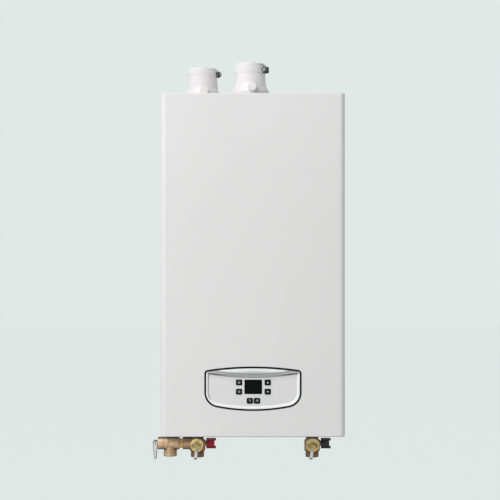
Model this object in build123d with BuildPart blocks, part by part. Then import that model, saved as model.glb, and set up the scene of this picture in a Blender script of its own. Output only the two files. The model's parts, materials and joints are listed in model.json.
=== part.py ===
"""Wall-hung tankless water heater, in millimetres.

The casing hangs on a wall bracket. Two flue collars stand on its top, and the hot and cold valve sets
hang below it. The frame's origin is the middle of the wall bracket's four screw holes, on the wall,
with +Z up and the front facing -Y.
"""

from build123d import *

import os
from math import cos, radians, sin, sqrt

os.makedirs("parts", exist_ok=True)

# Casing and front cover
CASE_W = 450.0
CASE_H = 840.0
CASE_D = 310.0
CASE_TOP = 80.0
COVER_D = 60.0
SHEET = 1.2
FRONT_EDGE_R = 13.0
TOP_EDGE_R = 2.5
WALL_GAP = 12.0
COVER_CLEAR = 0.3
REST_GAP = 0.3
FLANGE_W = 25.0
FLANGE_CORNER_R = 6.0
SEAL_T = 4.5
SEAL_W = 8.0
SEAL_INSET = 15.0

# Screws that hold sheet parts
SCREW_R = 2.0
SCREW_HEAD_R = 4.5
SCREW_HEAD_H = 2.2
SCREW_END = 6.0
THREAD_CLEAR = 0.05
HOLE_CLEAR = 0.3
COVER_SCREW_X = 150.0
COVER_SCREW_BACK = 18.0

# Wall bracket, hanger and lower bracket
BRACKET_W = 380.0
BRACKET_H = 56.0
BRACKET_T = 2.5
BRACKET_HOLE_R = 3.5
BRACKET_HOLES_X = 300.0
BRACKET_HOLES_Z = 28.0
LIP_OUT = 9.0
LIP_H = 18.0
HANGER_W = 340.0
HANGER_T = 2.0
HANGER_LIP_H = 14.0
HANGER_LIP_GAP = 1.5
HANGER_DOWN = 48.0
LOWER_W = 240.0
LOWER_TOP = 60.0
LOWER_FOOT = 20.0
LOWER_DROP = 30.0
LOWER_HOLES_X = 200.0
LOWER_HOLE_UP = 14.0

# Base plate
BASE_W = 420.0
BASE_T = 2.0
BASE_FRONT_IN = 62.0
BASE_BACK_IN = 33.0
BASE_LEDGE = 20.0
BASE_SCREW_IN = 9.0

# Control panel opening and bezel
PANEL_W = 235.6
PANEL_H = 106.6
PANEL_UP = 118.0
PANEL_TOP_R = 750.0
PANEL_BOTTOM_R = 460.0
PANEL_TOP_CORNER_R = 9.0
PANEL_BOTTOM_CORNER_R = 36.0
PANEL_GAP = 3.0
BEZEL_PROUD = 1.8
BEZEL_EDGE_R = 1.2
BEZEL_RIM = 4.0
BEZEL_SLOPE = 3.0
BEZEL_POCKET = 2.3
BEZEL_PLATE = 2.5
BEZEL_WALL = 2.5
BROW_UPPER_MID = 19.3
BROW_UPPER_END = 14.8
BROW_LOWER_MID = 26.1
BROW_LOWER_END = 16.7
POCKET_CORNER_R = 4.0
PANEL_GASKET_W = 8.0
PANEL_GASKET_INSET = 1.0

# Display and keys
LCD_W = 43.0
LCD_H = 35.0
LCD_CORNER_R = 1.5
LCD_T = 2.0
LCD_PROUD = 0.3
LCD_UP = 4.5
LCD_RIGHT = 0.6
LCD_FIT = 0.1
LCD_MODULE_EDGE = 2.0
KEY_W = 15.1
KEY_H = 13.7
KEY_CORNER_R = 2.6
KEY_EDGE_R = 0.5
KEY_PROUD = 1.3
KEY_CLEAR = 0.35
KEY_FLANGE = 0.8
KEY_FLANGE_T = 1.5
KEY_TRAVEL = 1.0
KEY_RIGHT = 1.0
KEY_COLUMN = 35.0
KEY_ROW_UPPER = 15.2
KEY_ROW_LOWER = -7.2
KEY_ROW_BOTTOM = -29.5
KEY_PAIR = 8.65
SWITCH_W = 6.0
SWITCH_H = 4.0

# Boards and control box
BOARD_T = 1.6
PANEL_BOARD_W = 130.0
PANEL_BOARD_H = 80.0
BOARD_POST_R = 3.0
BOARD_POST_IN = 6.0
BOX_WALL = 2.5
BOX_MARGIN = 11.0
BOX_D = 47.0
CONTROL_BOARD_W = 190.0
CONTROL_BOARD_H = 95.0
CONTROL_POST_H = 4.0
RELAY_W = 28.0
RELAY_H = 18.0
RELAY_D = 16.0
SINK_W = 60.0
SINK_D = 24.0

# Rails inside the casing
RAIL_W = 30.0
RAIL_D = 20.0
RAIL_T = 1.5
RAIL_X = 80.0
BAR_H = 25.0
BAR_Z = 40.0
BAR_TAB = 15.0

# Flue collars
EXHAUST_X = -131.0
EXHAUST_IN = 198.0
INTAKE_X = -7.0
INTAKE_IN = 120.0
COLLAR_H = 90.0
COLLAR_R = 38.0
COLLAR_WALL = 4.0
COLLAR_STEP = 0.5
COLLAR_SLEEVE_H = 30.0
COLLAR_NECK_R = 39.6
COLLAR_NECK_Z = 38.0
COLLAR_DRUM_R = 48.5
COLLAR_DRUM_Z = 15.0
COLLAR_CURVE_UP = 9.0
COLLAR_CURVE_DOWN = 10.0
COLLAR_CURVE_IN = 0.9
COLLAR_RIM_R = 3.0
FLANGE_SIDE = 108.0
COLLAR_FLANGE_T = 3.0
COLLAR_FLANGE_CORNER_R = 12.0
COLLAR_SCREW_PITCH = 92.0
COLLAR_GASKET_T = 1.0
SOCKET_DEEP = 58.5
SOCKET_REST = 4.0
FLUE_R = 29.0
PIPE_SOCKET_R = 30.4
SPIGOT_R = 33.0
SPIGOT_LONG = 28.0
SPIGOT_CLEAR = 0.2
SLEEVE_GAP = 0.05

# Test ports in the collars
TEST_UP = 26.5
TEST_TURN = 5.0
TEST_BOSS_R = 9.5
TEST_BOSS_OUT = 50.0
TEST_BORE_R = 6.2
TEST_STEM_CLEAR = 0.1
TEST_STEM_LONG = 12.0
TEST_CAP_R = 11.0
TEST_CAP_T = 5.0
TEST_CAP_EDGE_R = 1.6
TEST_DIMPLE_R = 1.6

# Worm clamps
BAND_H = 14.0
BAND_T = 0.8
EXHAUST_BAND_UP = 79.5
INTAKE_BAND_UP = 72.2
WORM_OUT = 46.2
WORM_LONG = 11.0
WORM_HOUSING_H = 16.0
WORM_HOUSING_OUT = 50.5
WORM_HOUSING_EDGE_R = 2.5
WORM_R = 3.2
WORM_CLEAR = 0.1
WORM_FLANGE_R = 7.5
WORM_FLANGE_T = 1.5
WORM_HEX = 9.0
WORM_HEX_LONG = 5.2
WORM_SLOT_W = 1.2
WORM_SLOT_DEEP = 1.5
EXHAUST_WORM_TURN = 35.0
INTAKE_WORM_TURN = -28.0

# Heat exchangers, burner and exhaust duct
STACK_W = 290.0
STACK_X = -20.0
STACK_D = 210.0
BURNER_TOP = -400.0
BURNER_H = 70.0
PRIMARY_H = 130.0
SECONDARY_H = 160.0
HOOD_H = 40.0
STACK_LIP = 6.0
STACK_LIP_T = 3.0
STACK_WALL = 2.0
FIN_COUNT = 24
FIN_T = 1.0
BAFFLE_COUNT = 7
BAFFLE_T = 1.5
BAFFLE_OPEN = 40.0
BRAZE_GAP = 0.1
HOOD_WALL = 3.0
DUCT_WALL = 2.5
DUCT_TOP_GAP = 4.0
BEND_R = 15.0
BEND_TUBE_R = 8.0
BEND_PITCH = 36.0
BEND_COUNT = 3
BEND_BACK = 95.0
RIB_COUNT = 3
RIB_H = 14.0
RIB_OUT = 3.0
RIB_SIDE = 25.0
IGNITOR_X = -110.0
IGNITOR_PLATE = 26.0
IGNITOR_PLATE_T = 3.0
IGNITOR_R = 4.5
IGNITOR_LONG = 18.0

# Fan
FAN_X = -40.0
FAN_DOWN = 90.0
FAN_Y = -90.0
FAN_R = 75.0
FAN_DEEP = 60.0
FAN_WALL = 4.0
FAN_OUTLET_W = 60.0
FAN_INLET_R = 30.0
FAN_SHAFT_HOLE_R = 12.0
IMPELLER_R = 58.0
IMPELLER_PLATE_T = 3.0
IMPELLER_GAP = 6.0
BLADE_COUNT = 24
BLADE_T = 2.0
BLADE_W = 16.0
BLADE_LONG = 36.0
BLADE_TURN = 40.0
IMPELLER_HUB_R = 11.0
FAN_SHAFT_R = 4.0
FAN_SHAFT_CLEAR = 0.05
FAN_SHAFT_IN = 30.0
MOTOR_R = 38.0
MOTOR_LONG = 45.0
MOTOR_EDGE_R = 6.0

# Gas line
GAS_X = 75.0
GAS_Y = -100.0
LOCKNUT_T = 4.0
LOCKNUT_EDGE = 4.0
GAS_NIPPLE_R = 13.3
GAS_NIPPLE_DOWN = 24.0
GAS_PIPE_R = 9.0
GAS_BORE_R = 7.5
GAS_VALVE_W = 60.0
GAS_VALVE_H = 80.0
GAS_VALVE_UP = 106.8
GAS_COIL_R = 16.0
GAS_COIL_OUT = 25.0

# Condensate trap and drain
TRAP_X = -70.0
TRAP_Y = -100.0
TRAP_W = 60.0
TRAP_H = 96.0
TRAP_EDGE_R = 8.0
DRAIN_R = 10.65
DRAIN_BORE_R = 8.0
DRAIN_DOWN = 18.0
HOSE_R = 8.0
HOSE_BORE_R = 6.0
HOSE_OUT = 26.0
HOSE_BEND_R = 16.0
HOSE_Y = -80.0
HOSE_HIGH = 20.0
HOSE_LOW = 60.0

# Cable gland
GLAND_X = 165.0
GLAND_Y = -80.0
GLAND_R = 10.0
GLAND_NUT_R = 13.5
GLAND_NUT_T = 5.0
GLAND_DOWN = 14.0
GLAND_BORE_R = 5.5

# Water pipes inside the casing
PIPE_R = 9.5
PIPE_BORE_R = 8.3
PIPE_FLANGE_R = 22.0
PIPE_FLANGE_T = 4.0
NIPPLE_R = 13.2
BASE_HOLE_CLEAR = 0.3
HOT_SIDE_GAP = 32.0
HOT_JOG_LOW = 105.0
HOT_JOG_HIGH = 150.0
PIPE_JOG_R = 30.0
PIPE_END_R = 18.0
SENSOR_R = 16.0
SENSOR_LONG = 40.0
SENSOR_UP = 80.0
SENSOR_FIT = 0.1
SENSOR_CAP_W = 22.0
SENSOR_CAP_OUT = 28.0

# Hot and cold valves
HOT_X = -140.0
COLD_X = 149.0
VALVE_IN = 100.0
VALVE_DOWN = 29.0
VALVE_R = 19.5
VALVE_EDGE_R = 2.0
VALVE_SHOULDER = 9.0
VALVE_HIP = 19.0
PORT_R = 16.5
PORT_DOWN = 34.0
PORT_THREAD_R = 12.15
PORT_THREAD_LONG = 14.0
WATERWAY_R = 8.5
SIDE_PORT_R = 15.5
NECK_R = 15.7
NECK_UP = 14.5
TAIL_R = 11.5
TAIL_LIP_R = 13.0
TAIL_LIP_T = 1.8
NUT_HEX = 32.0
NUT_FLOOR = 1.7
NUT_UNDER = 2.6
NUT_CLEAR = 0.1
FRONT_BOSS_R = 15.0
FRONT_BOSS_OUT = 28.0
BALL_R = 12.0
BALL_CLEAR = 0.4
CAVITY_R = 12.5
SEAT_R = 11.0
SEAT_OUT = 11.0
SEAT_FIT = 0.05
STEM_R = 4.0
STEM_CLEAR = 0.1
BONNET_R = 16.7
BONNET_T = 10.0
BONNET_EDGE = 1.5
BONNET_EDGE_ANGLE = 45.0
BONNET_PLUG = 9.0
BONNET_FIT = 0.05
BONNET_DISH_R = 11.5
BONNET_DISH = 2.0
BONNET_HUB_R = 6.5
BONNET_HUB_OUT = 2.5
LEVER_W = 7.5
LEVER_NECK_W = 4.5
LEVER_T = 2.4
LEVER_LONG = 34.5
LEVER_STEP_OUT = 7.0
LEVER_STEP_DOWN = 8.0
LEVER_TIP_BACK = 4.0
LEVER_TIP_LONG = 5.0
LEVER_BEND_R = 3.0
LEVER_HUB_R = 6.0
LEVER_NUT_HEX = 7.0
LEVER_NUT_T = 3.0
LEVER_FIT = 0.05
HOT_LEAN = 5.0
COLD_LEAN = 9.0

# Purge cocks
PURGE_BOSS_R = 9.0
PURGE_BOSS_OUT = 20.0
PURGE_NECK_R = 6.3
PURGE_NECK_OUT = 22.0
PURGE_NECK_IN = 6.0
PURGE_WAY_R = 3.0
PURGE_STEM_R = 3.0
PURGE_STEM_LONG = 16.0
PURGE_STEM_CLEAR = 0.08
KNOB_HUB_R = 8.0
KNOB_HUB_LONG = 20.5
KNOB_H = 25.0
KNOB_LONG = 24.3
KNOB_WING_T = 5.0
KNOB_WEB_T = 6.0
KNOB_WING_W = 13.0
KNOB_EDGE_R = 0.8

# Relief valve on the hot valve's side port
SIDE_PORT_OUT = 36.4
SIDE_WAY_R = 6.5
LINK_R = 10.3
LINK_CLEAR = 0.05
LINK_IN = 10.0
LINK_HEX = 23.0
LINK_HEX_LONG = 9.3
LINK_BORE_R = 7.0
RELIEF_R = 16.2
RELIEF_LONG = 39.3
RELIEF_EDGE_R = 1.5
RELIEF_SEAT_R = 6.0
RELIEF_SEAT_T = 2.0
RELIEF_CHAMBER_R = 11.0
OUTLET_BACK = 22.8
OUTLET_DOWN = 32.0
OUTLET_NECK_R = 13.8
OUTLET_COLLAR_H = 15.0
RELIEF_BONNET_R = 15.8
RELIEF_BONNET_LONG = 13.6
RELIEF_SEAM = 1.0
RELIEF_SEAM_R = 14.5
RELIEF_PLUG = 4.0
RELIEF_PLUG_FIT = 0.05
RELIEF_SPRING_ROOM_R = 9.0
RELIEF_END_T = 3.0
DISC_R = 8.5
DISC_T = 2.5
RELIEF_STEM_R = 2.2
RELIEF_STEM_CLEAR = 0.1
SPRING_PLATE_R = 8.4
SPRING_PLATE_T = 1.5
SPRING_R = 6.6
SPRING_WIRE_R = 0.7
SPRING_TURNS = 5
SPRING_END_GAP = 0.1
RELIEF_PIN_OUT = 6.6
RELIEF_PIN_R = 1.5
RELIEF_PIN_CLEAR = 0.05
RELIEF_EYE_R = 3.6
RELIEF_EYE_T = 4.0
CHEEK_R = 6.3
CHEEK_T = 1.5
CHEEK_GAP = 0.3
CHEEK_CAM = 1.8
CHEEK_TIP_R = 3.0
CHEEK_TIP_DOWN = 37.0
CHEEK_WEB = 1.4
CHEEK_WEB_DOWN = 8.0

# Levels and places that follow from the sizes above
CASE_BOTTOM = CASE_TOP - CASE_H
CASE_FRONT = -CASE_D
EXHAUST_Y = CASE_FRONT + EXHAUST_IN
INTAKE_Y = CASE_FRONT + INTAKE_IN
VALVE_Y = CASE_FRONT + VALVE_IN
BASE_D = CASE_D - BASE_FRONT_IN - BASE_BACK_IN
BASE_Y = CASE_FRONT + BASE_FRONT_IN + BASE_D / 2
COVER_INSIDE = CASE_FRONT + SHEET
COVER_BACK = CASE_FRONT + COVER_D
COVER_STEP = SHEET + COVER_CLEAR
CHASSIS_W = CASE_W - 2 * COVER_STEP
CHASSIS_TOP = CASE_TOP - COVER_STEP
CHASSIS_BOTTOM = CASE_BOTTOM + COVER_STEP
CHASSIS_H = CHASSIS_TOP - CHASSIS_BOTTOM
CHASSIS_MID_Z = (CHASSIS_TOP + CHASSIS_BOTTOM) / 2
CHASSIS_BACK = -WALL_GAP
CHASSIS_FRONT = COVER_INSIDE + SEAL_T + REST_GAP
CHASSIS_D = CHASSIS_BACK - CHASSIS_FRONT
BACK_INSIDE = CHASSIS_BACK - SHEET
SIDE_INSIDE = CHASSIS_W / 2 - SHEET
COVER_SCREW_Y = COVER_BACK - COVER_SCREW_BACK
FLOOR_Z = CHASSIS_BOTTOM + SHEET
BASE_TOP = FLOOR_Z + BASE_T
PANEL_Z = CASE_BOTTOM + PANEL_UP
BEZEL_FRONT = CASE_FRONT - BEZEL_PROUD
PANEL_FACE = BEZEL_FRONT + BEZEL_POCKET
PANEL_BACK = PANEL_FACE + BEZEL_PLATE
KEY_FRONT = PANEL_FACE - KEY_PROUD
KEY_FLANGE_FRONT = PANEL_BACK + REST_GAP
KEY_FLANGE_BACK = KEY_FLANGE_FRONT + KEY_FLANGE_T
SWITCH_FRONT = KEY_FLANGE_BACK + KEY_TRAVEL + REST_GAP
PANEL_BOARD_FRONT = SWITCH_FRONT + SWITCH_H
PANEL_BOARD_BACK = PANEL_BOARD_FRONT + BOARD_T
LCD_FRONT = PANEL_FACE - LCD_PROUD
BOX_FRONT = PANEL_BOARD_FRONT
BOX_BACK = BOX_FRONT + BOX_D
BOX_INSIDE = BOX_BACK - BOX_WALL
COLLAR_BASE = CHASSIS_TOP + COLLAR_GASKET_T
SOCKET_FLOOR = COLLAR_H - SOCKET_DEEP
STACK_BACK = BACK_INSIDE - RAIL_D
STACK_FRONT = STACK_BACK - STACK_D
STACK_Y = (STACK_BACK + STACK_FRONT) / 2
STACK_LEFT = STACK_X - STACK_W / 2
STACK_RIGHT = STACK_X + STACK_W / 2
STACK_ROOM_W = STACK_W - 2 * (STACK_WALL + BRAZE_GAP)
STACK_ROOM_D = STACK_D - 2 * (STACK_WALL + BRAZE_GAP)
BURNER_BOTTOM = BURNER_TOP - BURNER_H
PRIMARY_TOP = BURNER_TOP + PRIMARY_H
SECONDARY_TOP = PRIMARY_TOP + SECONDARY_H
FAN_Z = BURNER_BOTTOM - FAN_DOWN
FAN_FRONT = FAN_Y - FAN_DEEP
GAS_VALVE_BOTTOM = BASE_TOP + GAS_VALVE_UP
GAS_VALVE_TOP = GAS_VALVE_BOTTOM + GAS_VALVE_H
VALVE_Z = CASE_BOTTOM - VALVE_DOWN
NUT_BOTTOM = VALVE_Z + SIDE_PORT_R + REST_GAP
NUT_TOP = CASE_BOTTOM - COVER_CLEAR - NUT_UNDER
LIP_BOTTOM = NUT_BOTTOM + NUT_FLOOR + NUT_CLEAR
NIPPLE_END = LIP_BOTTOM + TAIL_LIP_T
TAIL_UP = NIPPLE_END - VALVE_Z
BONNET_BACK = VALVE_Y - FRONT_BOSS_OUT
BONNET_FRONT = BONNET_BACK - BONNET_T
HUB_FRONT = BONNET_FRONT - BONNET_HUB_OUT
LEVER_BACK = HUB_FRONT - REST_GAP
RELIEF_RIGHT = HOT_X - SIDE_PORT_OUT - LINK_HEX_LONG
RELIEF_LEFT = RELIEF_RIGHT - RELIEF_LONG
OUTLET_X = RELIEF_RIGHT - OUTLET_BACK
RELIEF_SEAT_X = RELIEF_RIGHT - LINK_IN - RELIEF_SEAT_T
RELIEF_END = RELIEF_LEFT - RELIEF_BONNET_LONG - RELIEF_SEAM
RELIEF_PIN_X = RELIEF_END - RELIEF_PIN_OUT
SPRING_ROOM_END = RELIEF_END + RELIEF_END_T
SPRING_PLATE_X = RELIEF_LEFT + RELIEF_PLUG


def front_plane(y, x=0.0, z=0.0):
    """A plane square to Y that faces the front, with its own x to the right and y up."""
    return Plane(origin=(x, y, z), x_dir=(1, 0, 0), z_dir=(0, -1, 0))


def side_plane(x, y=0.0, z=0.0):
    """A plane square to X that faces the right, with its own x to the back and y up."""
    return Plane(origin=(x, y, z), x_dir=(0, 1, 0), z_dir=(1, 0, 0))


def left_plane(x, y=0.0, z=0.0):
    """A plane square to X that faces the left, with its own x to the front and y up."""
    return Plane(origin=(x, y, z), x_dir=(0, -1, 0), z_dir=(-1, 0, 0))


def stack_plan():
    """The stack's four upright plates from above, a brazed joint apart."""
    with BuildSketch() as plan:
        with Locations((STACK_X, STACK_Y)):
            with GridLocations(STACK_W - STACK_WALL, 1, 2, 1):
                Rectangle(STACK_WALL, STACK_D)
            with GridLocations(1, STACK_D - STACK_WALL, 1, 2):
                Rectangle(STACK_ROOM_W, STACK_WALL)
    return plan.sketch


def strip_plan():
    """The flange strips along the stack's sides and front from above."""
    with BuildSketch() as plan:
        with Locations((STACK_X, STACK_Y)):
            with GridLocations(STACK_W + STACK_LIP + 2 * BRAZE_GAP, 1, 2, 1):
                Rectangle(STACK_LIP, STACK_D)
        with Locations((STACK_X, STACK_FRONT - STACK_LIP / 2 - BRAZE_GAP)):
            Rectangle(STACK_W + 2 * STACK_LIP, STACK_LIP)
    return plan.sketch


def panel_outline(inset):
    """The control panel's outline, drawn in by an inset: two shallow arcs between straight sides."""
    half = PANEL_W / 2 - inset
    top = PANEL_H / 2 - inset
    top_r = PANEL_TOP_R - inset
    bottom_r = PANEL_BOTTOM_R - inset
    top_side = top - top_r + sqrt(top_r**2 - half**2)
    bottom_side = bottom_r - sqrt(bottom_r**2 - half**2) - top
    with BuildSketch() as outline:
        with BuildLine():
            ThreePointArc((-half, top_side), (0, top), (half, top_side))
            Line((half, top_side), (half, bottom_side))
            ThreePointArc((half, bottom_side), (0, -top), (-half, bottom_side))
            Line((-half, bottom_side), (-half, top_side))
        make_face()
        fillet(outline.vertices().group_by(Axis.Y)[-1], PANEL_TOP_CORNER_R - inset)
        fillet(outline.vertices().group_by(Axis.Y)[0], PANEL_BOTTOM_CORNER_R - inset)
    return outline.sketch


def pocket_outline(inset, brow_mid, brow_end):
    """The sunk part of the panel: the panel's outline with its top drawn down in an arc under the brow."""
    half = PANEL_W / 2 - inset
    top = PANEL_H / 2
    bottom = PANEL_H / 2 - inset
    bottom_r = PANEL_BOTTOM_R - inset
    bottom_side = bottom_r - sqrt(bottom_r**2 - half**2) - bottom
    with BuildSketch() as outline:
        with BuildLine():
            ThreePointArc((-half, top - brow_end), (0, top - brow_mid), (half, top - brow_end))
            Line((half, top - brow_end), (half, bottom_side))
            ThreePointArc((half, bottom_side), (0, -bottom), (-half, bottom_side))
            Line((-half, bottom_side), (-half, top - brow_end))
        make_face()
        fillet(outline.vertices().group_by(Axis.Y)[-1], POCKET_CORNER_R)
        fillet(outline.vertices().group_by(Axis.Y)[0], PANEL_BOTTOM_CORNER_R - inset)
    return outline.sketch


# Places of the screws and keys
cover_screw_xs = (-COVER_SCREW_X, COVER_SCREW_X)
collar_axes = {"exhaust": (EXHAUST_X, EXHAUST_Y), "intake": (INTAKE_X, INTAKE_Y)}
worm_turns = {"exhaust": EXHAUST_WORM_TURN, "intake": INTAKE_WORM_TURN}
band_ups = {"exhaust": EXHAUST_BAND_UP, "intake": INTAKE_BAND_UP}
key_places = {
    "power_key": (KEY_RIGHT - KEY_COLUMN, KEY_ROW_UPPER),
    "menu_key": (KEY_RIGHT - KEY_COLUMN, KEY_ROW_LOWER),
    "up_key": (KEY_RIGHT + KEY_COLUMN, KEY_ROW_UPPER),
    "down_key": (KEY_RIGHT + KEY_COLUMN, KEY_ROW_LOWER),
    "water_key": (KEY_RIGHT - KEY_PAIR, KEY_ROW_BOTTOM),
    "service_key": (KEY_RIGHT + KEY_PAIR, KEY_ROW_BOTTOM),
}
base_screw_places = [
    (x, BASE_Y + y)
    for x in (BASE_SCREW_IN - BASE_W / 2, BASE_W / 2 - BASE_SCREW_IN)
    for y in (BASE_SCREW_IN - BASE_D / 2, BASE_D / 2 - BASE_SCREW_IN)
]
post_x = PANEL_BOARD_W / 2 - BOARD_POST_IN
post_z = PANEL_BOARD_H / 2 - BOARD_POST_IN

# Wall bracket: a plate on the wall whose top is bent out into an upright lip
with BuildPart() as wall_bracket:
    with BuildSketch(Plane.YZ.offset(-BRACKET_W / 2)) as bracket_side:
        with BuildLine():
            Polyline(
                (0, -BRACKET_H / 2),
                (0, BRACKET_H / 2),
                (BRACKET_T - LIP_OUT, BRACKET_H / 2),
                (BRACKET_T - LIP_OUT, BRACKET_H / 2 + LIP_H),
                (-LIP_OUT, BRACKET_H / 2 + LIP_H),
                (-LIP_OUT, BRACKET_H / 2 - BRACKET_T),
                (-BRACKET_T, BRACKET_H / 2 - BRACKET_T),
                (-BRACKET_T, -BRACKET_H / 2),
                close=True,
            )
        make_face()
    extrude(amount=BRACKET_W)
    with BuildSketch(front_plane(0)):
        with GridLocations(BRACKET_HOLES_X, BRACKET_HOLES_Z, 2, 2):
            Circle(BRACKET_HOLE_R)
    extrude(amount=BRACKET_T, mode=Mode.SUBTRACT)
wall_bracket.part.label = "wall_bracket"
export_step(wall_bracket.part, "parts/wall_bracket.step")

# Casing brackets: the hanger that drops over the wall bracket's lip, and the lower wall foot
LIP_TOP = BRACKET_H / 2 + LIP_H
hanger_back = BRACKET_T - LIP_OUT + HANGER_LIP_GAP
with BuildPart() as casing_brackets:
    with BuildSketch(Plane.YZ.offset(-HANGER_W / 2)):
        with BuildLine():
            Polyline(
                (CHASSIS_BACK, LIP_TOP - HANGER_DOWN),
                (CHASSIS_BACK, LIP_TOP + HANGER_T),
                (hanger_back + HANGER_T, LIP_TOP + HANGER_T),
                (hanger_back + HANGER_T, LIP_TOP - HANGER_LIP_H),
                (hanger_back, LIP_TOP - HANGER_LIP_H),
                (hanger_back, LIP_TOP),
                (CHASSIS_BACK + HANGER_T, LIP_TOP),
                (CHASSIS_BACK + HANGER_T, LIP_TOP - HANGER_DOWN),
                close=True,
            )
        make_face()
    extrude(amount=HANGER_W)
    with BuildSketch(Plane.YZ.offset(-LOWER_W / 2)):
        with BuildLine():
            Polyline(
                (CHASSIS_BACK, CASE_BOTTOM + LOWER_TOP),
                (CHASSIS_BACK + HANGER_T, CASE_BOTTOM + LOWER_TOP),
                (CHASSIS_BACK + HANGER_T, CASE_BOTTOM + LOWER_FOOT + HANGER_T),
                (0, CASE_BOTTOM + LOWER_FOOT + HANGER_T),
                (0, CASE_BOTTOM - LOWER_DROP),
                (-HANGER_T, CASE_BOTTOM - LOWER_DROP),
                (-HANGER_T, CASE_BOTTOM + LOWER_FOOT),
                (CHASSIS_BACK, CASE_BOTTOM + LOWER_FOOT),
                close=True,
            )
        make_face()
    extrude(amount=LOWER_W)
    with BuildSketch(front_plane(0, z=CASE_BOTTOM - LOWER_DROP + LOWER_HOLE_UP)):
        with GridLocations(LOWER_HOLES_X, 1, 2, 1):
            Circle(BRACKET_HOLE_R)
    extrude(amount=HANGER_T, mode=Mode.SUBTRACT)
casing_brackets.part.label = "casing_brackets"
export_step(casing_brackets.part, "parts/casing_brackets.step")

# Rear casing: a folded sheet box with an inward flange round its open front
with BuildPart() as rear_casing:
    with BuildSketch(Plane.XY.offset(CHASSIS_BOTTOM)) as chassis_plan:
        with Locations((0, (CHASSIS_BACK + CHASSIS_FRONT) / 2)):
            Rectangle(CHASSIS_W, CHASSIS_D)
        fillet(chassis_plan.vertices().group_by(Axis.Y)[0], FRONT_EDGE_R)
    extrude(amount=CHASSIS_H)
    fillet(rear_casing.edges().filter_by(Axis.Y), TOP_EDGE_R - SHEET)
    with BuildSketch(Plane.XY.offset(FLOOR_Z)) as chassis_room:
        with Locations((0, (CHASSIS_BACK + CHASSIS_FRONT) / 2)):
            Rectangle(CHASSIS_W - 2 * SHEET, CHASSIS_D - 2 * SHEET)
        fillet(chassis_room.vertices().group_by(Axis.Y)[0], FRONT_EDGE_R - SHEET)
    extrude(amount=CHASSIS_H - 2 * SHEET, mode=Mode.SUBTRACT)
    with BuildSketch(front_plane(CHASSIS_FRONT, z=CHASSIS_MID_Z)):
        RectangleRounded(CHASSIS_W - 2 * FLANGE_W, CHASSIS_H - 2 * FLANGE_W, FLANGE_CORNER_R)
    extrude(amount=-2 * SHEET, mode=Mode.SUBTRACT)
    with BuildSketch(Plane.XY.offset(CHASSIS_TOP)):
        for collar_x, collar_y in collar_axes.values():
            with Locations((collar_x, collar_y)):
                Circle(SPIGOT_R + HOLE_CLEAR)
                with GridLocations(COLLAR_SCREW_PITCH, COLLAR_SCREW_PITCH, 2, 2):
                    Circle(SCREW_R + THREAD_CLEAR)
        for screw_x in cover_screw_xs:
            with Locations((screw_x, COVER_SCREW_Y)):
                Circle(SCREW_R + THREAD_CLEAR)
    extrude(amount=-SHEET, mode=Mode.SUBTRACT)
    with BuildSketch(Plane.XY.offset(CHASSIS_BOTTOM)):
        with Locations((0, BASE_Y)):
            Rectangle(BASE_W - 2 * BASE_LEDGE, BASE_D - 2 * BASE_LEDGE)
        for screw_x in cover_screw_xs:
            with Locations((screw_x, COVER_SCREW_Y)):
                Circle(SCREW_R + THREAD_CLEAR)
        with Locations(*base_screw_places):
            Circle(SCREW_R + HOLE_CLEAR)
    extrude(amount=SHEET, mode=Mode.SUBTRACT)
rear_casing.part.label = "rear_casing"
export_step(rear_casing.part, "parts/rear_casing.step")

# Base plate: lies on the casing's floor and carries the pipes
with BuildPart() as base_plate:
    with BuildSketch(Plane.XY.offset(FLOOR_Z)):
        with Locations((0, BASE_Y)):
            Rectangle(BASE_W, BASE_D)
        with Locations((HOT_X, VALVE_Y), (COLD_X, VALVE_Y)):
            Circle(NIPPLE_R + BASE_HOLE_CLEAR, mode=Mode.SUBTRACT)
        with Locations((GAS_X, GAS_Y)):
            Circle(GAS_NIPPLE_R + BASE_HOLE_CLEAR, mode=Mode.SUBTRACT)
        with Locations((TRAP_X, TRAP_Y)):
            Circle(DRAIN_R + BASE_HOLE_CLEAR, mode=Mode.SUBTRACT)
        with Locations((GLAND_X, GLAND_Y)):
            Circle(GLAND_R + BASE_HOLE_CLEAR, mode=Mode.SUBTRACT)
        with Locations(*base_screw_places):
            Circle(SCREW_R + THREAD_CLEAR, mode=Mode.SUBTRACT)
    extrude(amount=BASE_T)
base_plate.part.label = "base_plate"
export_step(base_plate.part, "parts/base_plate.step")

# Front cover: a drawn steel pan with rounded upright edges, an opening for the panel and open slots
with BuildPart() as front_cover:
    with BuildSketch(Plane.XY.offset(CASE_BOTTOM)) as cover_plan:
        with Locations((0, (CASE_FRONT + COVER_BACK) / 2)):
            Rectangle(CASE_W, COVER_D)
        fillet(cover_plan.vertices().group_by(Axis.Y)[0], FRONT_EDGE_R)
    extrude(amount=CASE_H)
    cover_ends = front_cover.edges().filter_by(Plane.XY)
    fillet(cover_ends.filter_by(lambda edge: edge.center().Y < COVER_BACK - SHEET), TOP_EDGE_R)
    offset(amount=-SHEET, openings=front_cover.faces().sort_by(Axis.Y)[-1])
    with BuildSketch(front_plane(CASE_FRONT, z=PANEL_Z)):
        add(panel_outline(0))
    extrude(amount=-2 * SHEET, mode=Mode.SUBTRACT)
    for slot_z in (CASE_BOTTOM, CASE_TOP - SHEET):
        with BuildSketch(Plane.XY.offset(slot_z)):
            for screw_x in cover_screw_xs:
                with Locations((screw_x, COVER_SCREW_Y)):
                    Circle(SCREW_R + HOLE_CLEAR)
                with Locations((screw_x, (COVER_SCREW_Y + COVER_BACK) / 2)):
                    Rectangle(2 * (SCREW_R + HOLE_CLEAR), COVER_SCREW_BACK)
        extrude(amount=SHEET, mode=Mode.SUBTRACT)
front_cover.part.label = "front_cover"
export_step(front_cover.part, "parts/front_cover.step")

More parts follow.
